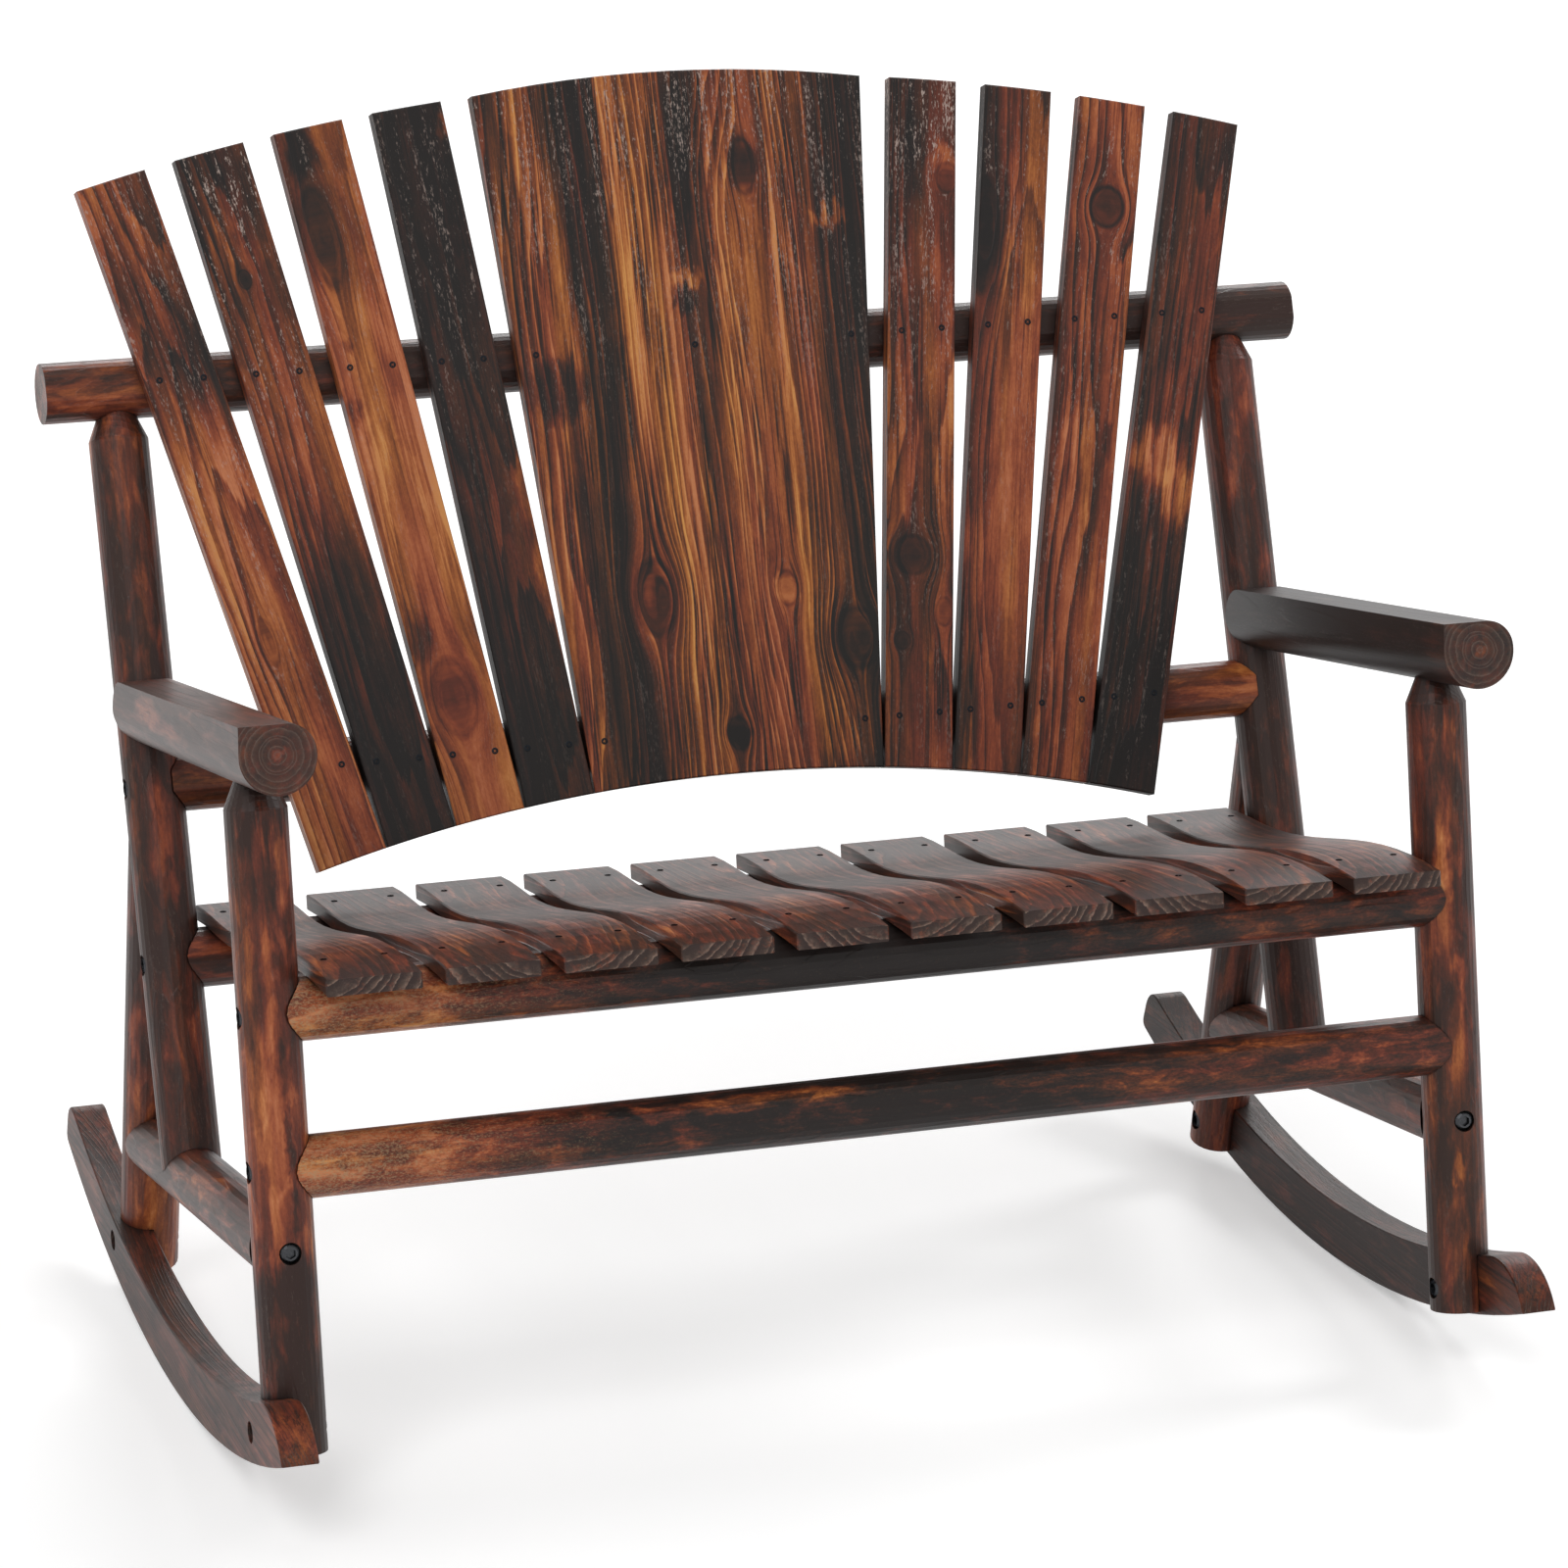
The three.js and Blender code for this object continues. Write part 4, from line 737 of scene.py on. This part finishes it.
# %% Logs
LOG = {
    "pith": (3, 2), "ring": 2.6, "wander": 26, "wander_length": 200, "lobed": 9,
    "burn": [(0, 0.62)], "sway": 12, "ragged": 140, "cloud": 1, "cloud_wide": 20,
    "cloud_long": 110, "patch": 0.24, "patch_wide": 16, "patch_long": 55, "patch_soft": 0.12,
    "streak": 0.26, "streak_wide": 9, "rings": 0.06, "lines": 0.05, "fibres": 0.12, "grit": 0.26,
    "deepest": 0.8, "gold": 0.08, "flecks": [(0, 0.06)], "end_pale": 0.45, "rough": 0.36,
    "shine": 0.25,
}
ARM = {"cloud": 0.5, "grit": 0.2, "patch": 0.12, "end_pale": 0.26, "ring": 5, "shine": 0.3,
       "end_char": -0.04, "pith": (0, 11), "wander": 8, "lobed": 5}
ARM_PITH = (0, 11, 262, 6, 20, -0.2)
FRONT_FOOT_GLOW = (0, -20, -500, 60, 110, -0.12)
FRONT_RAIL = {
    "burn": [(0, 0.34), (0.1, 0.38), (0.22, 0.58), (0.38, 0.9), (0.6, 0.92), (0.72, 0.7),
             (0.85, 0.62)],
    "flecks": [(0, 0.65), (0.12, 0.5), (0.3, 0.08), (0.6, 0.06)], "fuzz": 0.26, "gathered": 0.2,
    "fleck": "#A88F6C", "fleck_long": 3, "fleck_soft": 0.2, "cloud_long": 60,
    "patch": 0.26, "patch_wide": 12, "patch_long": 34, "grit": 0.6, "deepest": 0.96,
}
LOG_PIECES = {
    "left_front_leg": {
        "seed": 31,
        "burn": [(0, 0.74), (0.24, 0.76), (0.3, 0.42), (0.5, 0.4), (0.62, 0.5), (0.8, 0.54),
                 (0.87, 0.62), (0.9, 0.86), (1, 0.9)],
        "marks": [(20, -25, 205, 9, 44, -0.34), (-10, -27, -40, 12, 120, -0.16),
                  (5, -27, -20, 4, 130, 0.2), (0, -26, -160, 20, 34, 0.16),
                  (-26, -18, -240, 6, 40, -0.3), (18, -19, -190, 6, 70, -0.25)],
    },
    "right_front_leg": {
        "seed": 32,
        "burn": [(0, 0.66), (0.5, 0.56), (0.87, 0.58), (0.9, 0.8), (1, 0.84)],
        "marks": [(-14, -26, 90, 9, 100, -0.25), (12, -26, 0, 9, 160, 0.15),
                  (-3, -27, -176, 8, 16, -0.3)],
    },
    "left_rear_leg": {"seed": 33, "burn": [(0, 0.36), (0.3, 0.42), (0.5, 0.6)]},
    "right_rear_leg": {"seed": 34, "burn": [(0, 0.48), (0.5, 0.62)]},
    "left_back_post": {"seed": 35, "burn": [(0, 0.66), (0.7, 0.66), (0.84, 0.56), (1, 0.5)]},
    "right_back_post": {"seed": 36, "burn": [(0, 0.76), (0.6, 0.72), (0.8, 0.56), (1, 0.5)]},
    "left_side_stretcher": {"seed": 37, "marks": [(-20, 15, 33, 14, 60, -0.2)]},
    "right_side_stretcher": {"seed": 38},
    "left_armrest": dict(ARM, seed=39, burn=[(0, 0.72)], marks=[
        ARM_PITH, (-34, 12, -108, 14, 60, -0.26), (-30, 0, -30, 12, 90, -0.16)]),
    "right_armrest": dict(ARM, seed=40, burn=[(0, 0.98), (0.9, 0.98), (0.97, 0.78)],
                          marks=[ARM_PITH], deepest=0.94),
    "front_stretcher": dict(FRONT_RAIL, seed=41, marks=[
        FRONT_FOOT_GLOW, (-23, -17, -249, 9, 12, 0.4), (-22, -16, -110, 9, 110, -0.4),
        (-5, -28, 229, 14, 60, -0.12)]),
    "front_seat_rail": dict(FRONT_RAIL, seed=42, marks=[
        FRONT_FOOT_GLOW, (0, 0, -30, 60, 160, 0.2), (0, -29, 236, 16, 60, -0.12)]),
    "rear_seat_rail": {"seed": 43},
    "lower_back_rail": {
        "seed": 44, "gold": 0.4, "cloud": 0.5,
        "burn": [(0, 0.48), (0.12, 0.56), (0.3, 0.7), (0.8, 0.74), (0.86, 0.52), (1, 0.36)],
    },
    "top_back_rail": {"seed": 45, "burn": [(0, 0.5), (0.2, 0.66), (0.4, 0.78), (1, 0.82)]},
}
for name, changes in LOG_PIECES.items():
    towards = RIGHTWARD if name.endswith("rail") or name == "front_stretcher" else UP
    if "armrest" in name or "side_stretcher" in name:
        towards = FORWARD
    dress(name, dict(LOG, **changes), towards)
print("logs:", len(LOG_PIECES))

# %% [markdown]
# The rockers are sawn from a plank, so their rings run in long lines. Both have one look, but
# the right one is darker. The flame barely reached their front tips, which stay lighter.

# %% Rockers
ROCKER_DARKNESS = {"left_rocker": 0.7, "right_rocker": 0.8}
TIP_LIGHTER = 0.2
for name, burn in ROCKER_DARKNESS.items():
    dress(name, {
        "seed": 50 + len(name), "gold": 0.2, "ring": 4, "pith": (10, 60), "wander": 20,
        "burn": [(0, burn), (0.84, burn), (0.96, burn - TIP_LIGHTER)], "cloud": 0.6,
        "rings": 0.14, "streak": 0.3, "patch": 0.12, "lines": 0.12, "fibres": 0.24, "grit": 0.16,
        "flecks": [(0, 0.05)], "rough": 0.38, "shine": 0.16, "deepest": 0.84,
    }, FORWARD)
print("rockers:", ", ".join(ROCKER_DARKNESS))

# %% [markdown]
# Small countersunk screws with a cross recess hold the slats and boards to the rails. They are
# black phosphated steel, 6.4 mm across the head, driven until the head is just proud. One head is
# built once and shared. Each copy is dropped onto the face of its board by casting a ray, so it
# sits on the wood wherever the board leans.

# %% One screw head
HEAD_RADIUS = 0.0032
HEAD_PROUD = 0.0004
HEAD_SINK = 0.0012
RECESS_REACH = 0.0019
RECESS_HALF_WIDTH = 0.0005
RECESS_DEPTH = 0.0011
RIM_SHARE = 0.86  # of the head's radius
RECESS_FLOOR_SHARE = 0.7  # the recess narrows towards its floor
HEAD_SIDES = 24


def screw_head_mesh():
    """A low domed head with a cross recess, its face towards +Z and its rim at the surface."""
    made = bmesh.new()
    circle = [2 * math.pi * i / HEAD_SIDES for i in range(HEAD_SIDES)]
    foot, edge, rim = (
        [made.verts.new((radius * math.cos(a), radius * math.sin(a), z)) for a in circle]
        for radius, z in ((HEAD_RADIUS, -HEAD_SINK), (HEAD_RADIUS, HEAD_PROUD / 2),
                          (HEAD_RADIUS * RIM_SHARE, HEAD_PROUD)))
    far, near = RECESS_REACH, RECESS_HALF_WIDTH
    cross = [(far, -near), (far, near), (near, near)]
    for _ in range(3):  # the other arms, each a quarter turn further
        cross += [(-y, x) for x, y in cross[-3:]]
    lip = [made.verts.new((x, y, HEAD_PROUD)) for x, y in cross]
    floor = [made.verts.new((x * RECESS_FLOOR_SHARE, y * RECESS_FLOOR_SHARE,
                             HEAD_PROUD - RECESS_DEPTH)) for x, y in cross]
    for lower, upper in ((foot, edge), (edge, rim), (floor, lip)):
        for i in range(len(lower)):
            j = (i + 1) % len(lower)
            made.faces.new((lower[i], lower[j], upper[j], upper[i]))
    made.faces.new(list(reversed(foot)))
    made.faces.new(floor)
    made.edges.ensure_lookup_table()
    rims = [made.edges.get((ring[i], ring[(i + 1) % len(ring)])) for ring in (rim, lip)
            for i in range(len(ring))]
    bmesh.ops.triangle_fill(made, use_beauty=True, edges=rims, normal=(0, 0, 1))
    bmesh.ops.recalc_face_normals(made, faces=made.faces)
    mesh = bpy.data.meshes.new("screw_head")
    made.to_mesh(mesh)
    made.free()
    return mesh


screw_mesh = screw_head_mesh()
print("screw head faces:", len(screw_mesh.polygons))

# %% [markdown]
# Black phosphated steel is matt, dark grey and slightly blue. The coating is a little uneven, so
# its roughness varies over a millimetre or so. The bolts are black oxide steel, which is smoother.

# %% Black steel
EDGE_GREY = "#4A4A4C"  # a blackened metal stays dark when seen at a slant
COAT_GRAIN = 900.0  # per metre, so its patches are about a millimetre wide


def black_steel(name, colour, rough_low, rough_high):
    """Blackened steel with an uneven coating. A metal keeps the shader's own IOR."""
    material, tree, shader = new_material(name)
    place = add(tree, "TexCoord").outputs["Object"]
    uneven = add(tree, "TexNoise", {
        "Vector": place, "Scale": COAT_GRAIN, "Detail": 3}).outputs["Fac"]
    rough = add(tree, "MapRange", {
        "Value": uneven, "From Min": 0.3, "From Max": 0.7,
        "To Min": rough_low, "To Max": rough_high}).outputs[0]
    tint = fill_ramp(add(tree, "ValToRGB", {"Fac": uneven}), colour)
    bump = add(tree, "Bump", {"Height": uneven, "Strength": 0.15, "Distance": 0.0002}).outputs[0]
    tree.links.new(tint, shader.inputs["Base Color"])
    tree.links.new(rough, shader.inputs["Roughness"])
    tree.links.new(bump, shader.inputs["Normal"])
    shader.inputs["Metallic"].default_value = 1.0
    shader.inputs["Specular Tint"].default_value = linear(EDGE_GREY)
    return material


screw_mesh.materials.append(black_steel(
    "phosphated_steel", [(0.3, "#1E2023"), (0.7, "#2A2D31")], 0.5, 0.65))
oxide = black_steel("black_oxide_steel", [(0.3, "#38393B"), (0.7, "#4C4D50")], 0.28, 0.42)
bolts = [name for name in nodes if name.endswith("_bolt")]
for name in bolts:
    nodes[name].data.materials[0] = oxide
print("bolts in black oxide:", len(bolts))

# %% [markdown]
# Each slat of the fan is held by two screws at either rail, the centre board by three at the top
# and two at the foot, and each seat slat by two over either seat rail. They could be put down
# by hand, but the boards lean at nine angles. So the place is worked out: where the middle line
# of the rail passes behind the board, a little to each side. A power driver stops a screw at any
# angle, so each cross is turned a bit further than the one before.

# %% Drive the screws
RAIL_SCREW_HALF_GAP = 0.0207  # the two screws of a back slat, from its middle line
SEAT_SCREW_HALF_GAP = 0.0277
SEAT_SCREW_ROWS = {"rear": 0.1131, "front": -0.2809}  # over the middles of the seat rails
CENTRE_BOARD_ROWS = {"top_back_rail": (-0.161, 0, 0.161), "lower_back_rail": (-0.133, 0.133)}
CAST_FROM = 0.2  # metres above the face
FIRST_SPIN = 0.7  # how far the cross of the first screw is turned, in radians
SPIN_STEP = 1.9
screws = []


def drive_screw(name, board, above, inward):
    """Puts a screw head on a board, where a ray from above it meets the face."""
    met, place, normal, _ = nodes[board].ray_cast(above - inward * CAST_FROM, inward)
    if not met:
        raise RuntimeError(f"no face of {board} under screw {name}")
    screw = bpy.data.objects.new(name, screw_mesh)
    screw.location = place
    turn = normal.to_track_quat("Z", "Y")
    spin = Euler((0, 0, FIRST_SPIN + SPIN_STEP * len(screws))).to_quaternion()
    screw.rotation_euler = (turn @ spin).to_euler()
    bpy.context.scene.collection.objects.link(screw)
    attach(screw, "root")
    screws.append(screw)


def along_rail(board, rail, offset):
    """The place on a board's middle plane, offset across it, level with a rail's middle."""
    middle, turn, _, grain = grain_frame(board)
    across, thickness, _ = turn.to_matrix().transposed()
    low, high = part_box(rail)
    start = middle + across * offset
    uphill = Vector((0, thickness.z, -thickness.y))
    reach = ((low + high) / 2 - start).dot(uphill) / grain.dot(uphill)
    return start + grain * reach, thickness


for rail, row in (("top_back_rail", "top"), ("lower_back_rail", "foot")):
    for board in BACK_BOARDS:
        offsets = CENTRE_BOARD_ROWS[rail] if board == "back_centre_board" else (
            -RAIL_SCREW_HALF_GAP, RAIL_SCREW_HALF_GAP)
        for count, offset in enumerate(offsets, 1):
            place, inward = along_rail(board, rail, offset)
            drive_screw(f"{board}_{row}_screw_{count}", board, place, inward)
for count in range(1, SEAT_SLATS + 1):
    board = f"seat_slat_{count}"
    low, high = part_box(board)
    for row, y in SEAT_SCREW_ROWS.items():
        for side, offset in (("left", -SEAT_SCREW_HALF_GAP), ("right", SEAT_SCREW_HALF_GAP)):
            above = Vector(((low.x + high.x) / 2 + offset, y, high.z))
            drive_screw(f"{board}_{row}_{side}_screw", board, above, Vector((0, 0, -1)))
print("screws:", len(screws), "first at", [round(v, 4) for v in screws[0].location])

# %% [markdown]
# The bench stands on pale studio paper that runs on out of sight. A flat sheet is enough, as
# nothing of it shows but the soft shadow under the rockers. Paper under plain light comes out
# light grey, and the picture's ground is nearly white. More light would bleach the wood too. So
# the paper is lifted only where it is seen directly, by a faint glow of its own that lights
# nothing, and the shadow stays in it.

# %% Studio paper
FLOOR_HALF = 9.0
PAPER = "#E6E6E6"
PAPER_LIFT = 0.4


def seen_directly(tree):
    """1 for what the camera sees, also in a shine or through glass, and 0 for what gives light."""
    seen = add(tree, "LightPath")
    direct = add(tree, "Math", {
        0: seen.outputs["Is Camera Ray"], 1: seen.outputs["Is Glossy Ray"],
    }, operation="MAXIMUM").outputs[0]
    return add(tree, "Math", {
        0: direct, 1: seen.outputs["Is Transmission Ray"]}, operation="MAXIMUM").outputs[0]


floor_mesh = bpy.data.meshes.new("floor")
floor_mesh.from_pydata(
    [(x * FLOOR_HALF, y * FLOOR_HALF, 0) for x, y in ((-1, -1), (1, -1), (1, 1), (-1, 1))],
    [], [(0, 1, 2, 3)])
floor = bpy.data.objects.new("floor", floor_mesh)
bpy.context.scene.collection.objects.link(floor)
paper, tree, shader = new_material("studio_paper")
shader.inputs["Base Color"].default_value = linear(PAPER)
shader.inputs["Roughness"].default_value = 0.9
shader.inputs["Emission Color"].default_value = (1, 1, 1, 1)
lift = add(tree, "Math", {0: seen_directly(tree), 1: PAPER_LIFT}, operation="MULTIPLY").outputs[0]
tree.links.new(lift, shader.inputs["Emission Strength"])
floor.data.materials.append(paper)
print("paper, metres across:", 2 * FLOOR_HALF)

# %% [markdown]
# The room is an even white tent. It gives half of the light, at a strength that keeps the wood's
# colours as they are written, while the camera and the varnish see it as plain white.

# %% White room
ROOM_LIGHT = 0.5
world = bpy.data.worlds.new("studio")
bpy.context.scene.world = world
world.use_nodes = True
tree = world.node_tree
background = tree.nodes["Background"]
background.inputs["Color"].default_value = (1, 1, 1, 1)
strength = add(tree, "MapRange", {
    "Value": seen_directly(tree), "To Min": ROOM_LIGHT, "To Max": 1}).outputs[0]
tree.links.new(strength, background.inputs["Strength"])
print("room light:", ROOM_LIGHT, "seen as white")

# %% [markdown]
# Three large soft lamps give the rest. The first shines from the front left and above, one from
# the right and one from behind on the right. That one draws the shadows of the rockers towards
# the camera and lays a grey sheen on the tops of the arms and seat. Suns are used, as they have
# no distance to set: only a direction, a strength and how wide they spread.

# %% Lamps
SUNS = {  # towards the light, strength, spread in degrees
    "key": ((-0.42, -0.62, 0.75), 1.05, 30),
    "right": ((0.75, 0.15, 0.6), 0.75, 16),
    "rear": ((0.3, 0.8, 0.58), 0.7, 18),
}
for sun_name, (place, strength, spread) in SUNS.items():
    sun_data = bpy.data.lights.new(sun_name, "SUN")
    sun_data.energy = strength
    sun_data.angle = math.radians(spread)
    sun = bpy.data.objects.new(sun_name, sun_data)
    sun.rotation_euler = (-Vector(place)).to_track_quat("-Z", "Y").to_euler()
    bpy.context.scene.collection.objects.link(sun)
bpy.context.scene.view_settings.view_transform = "Standard"
print("lamps:", ", ".join(SUNS))
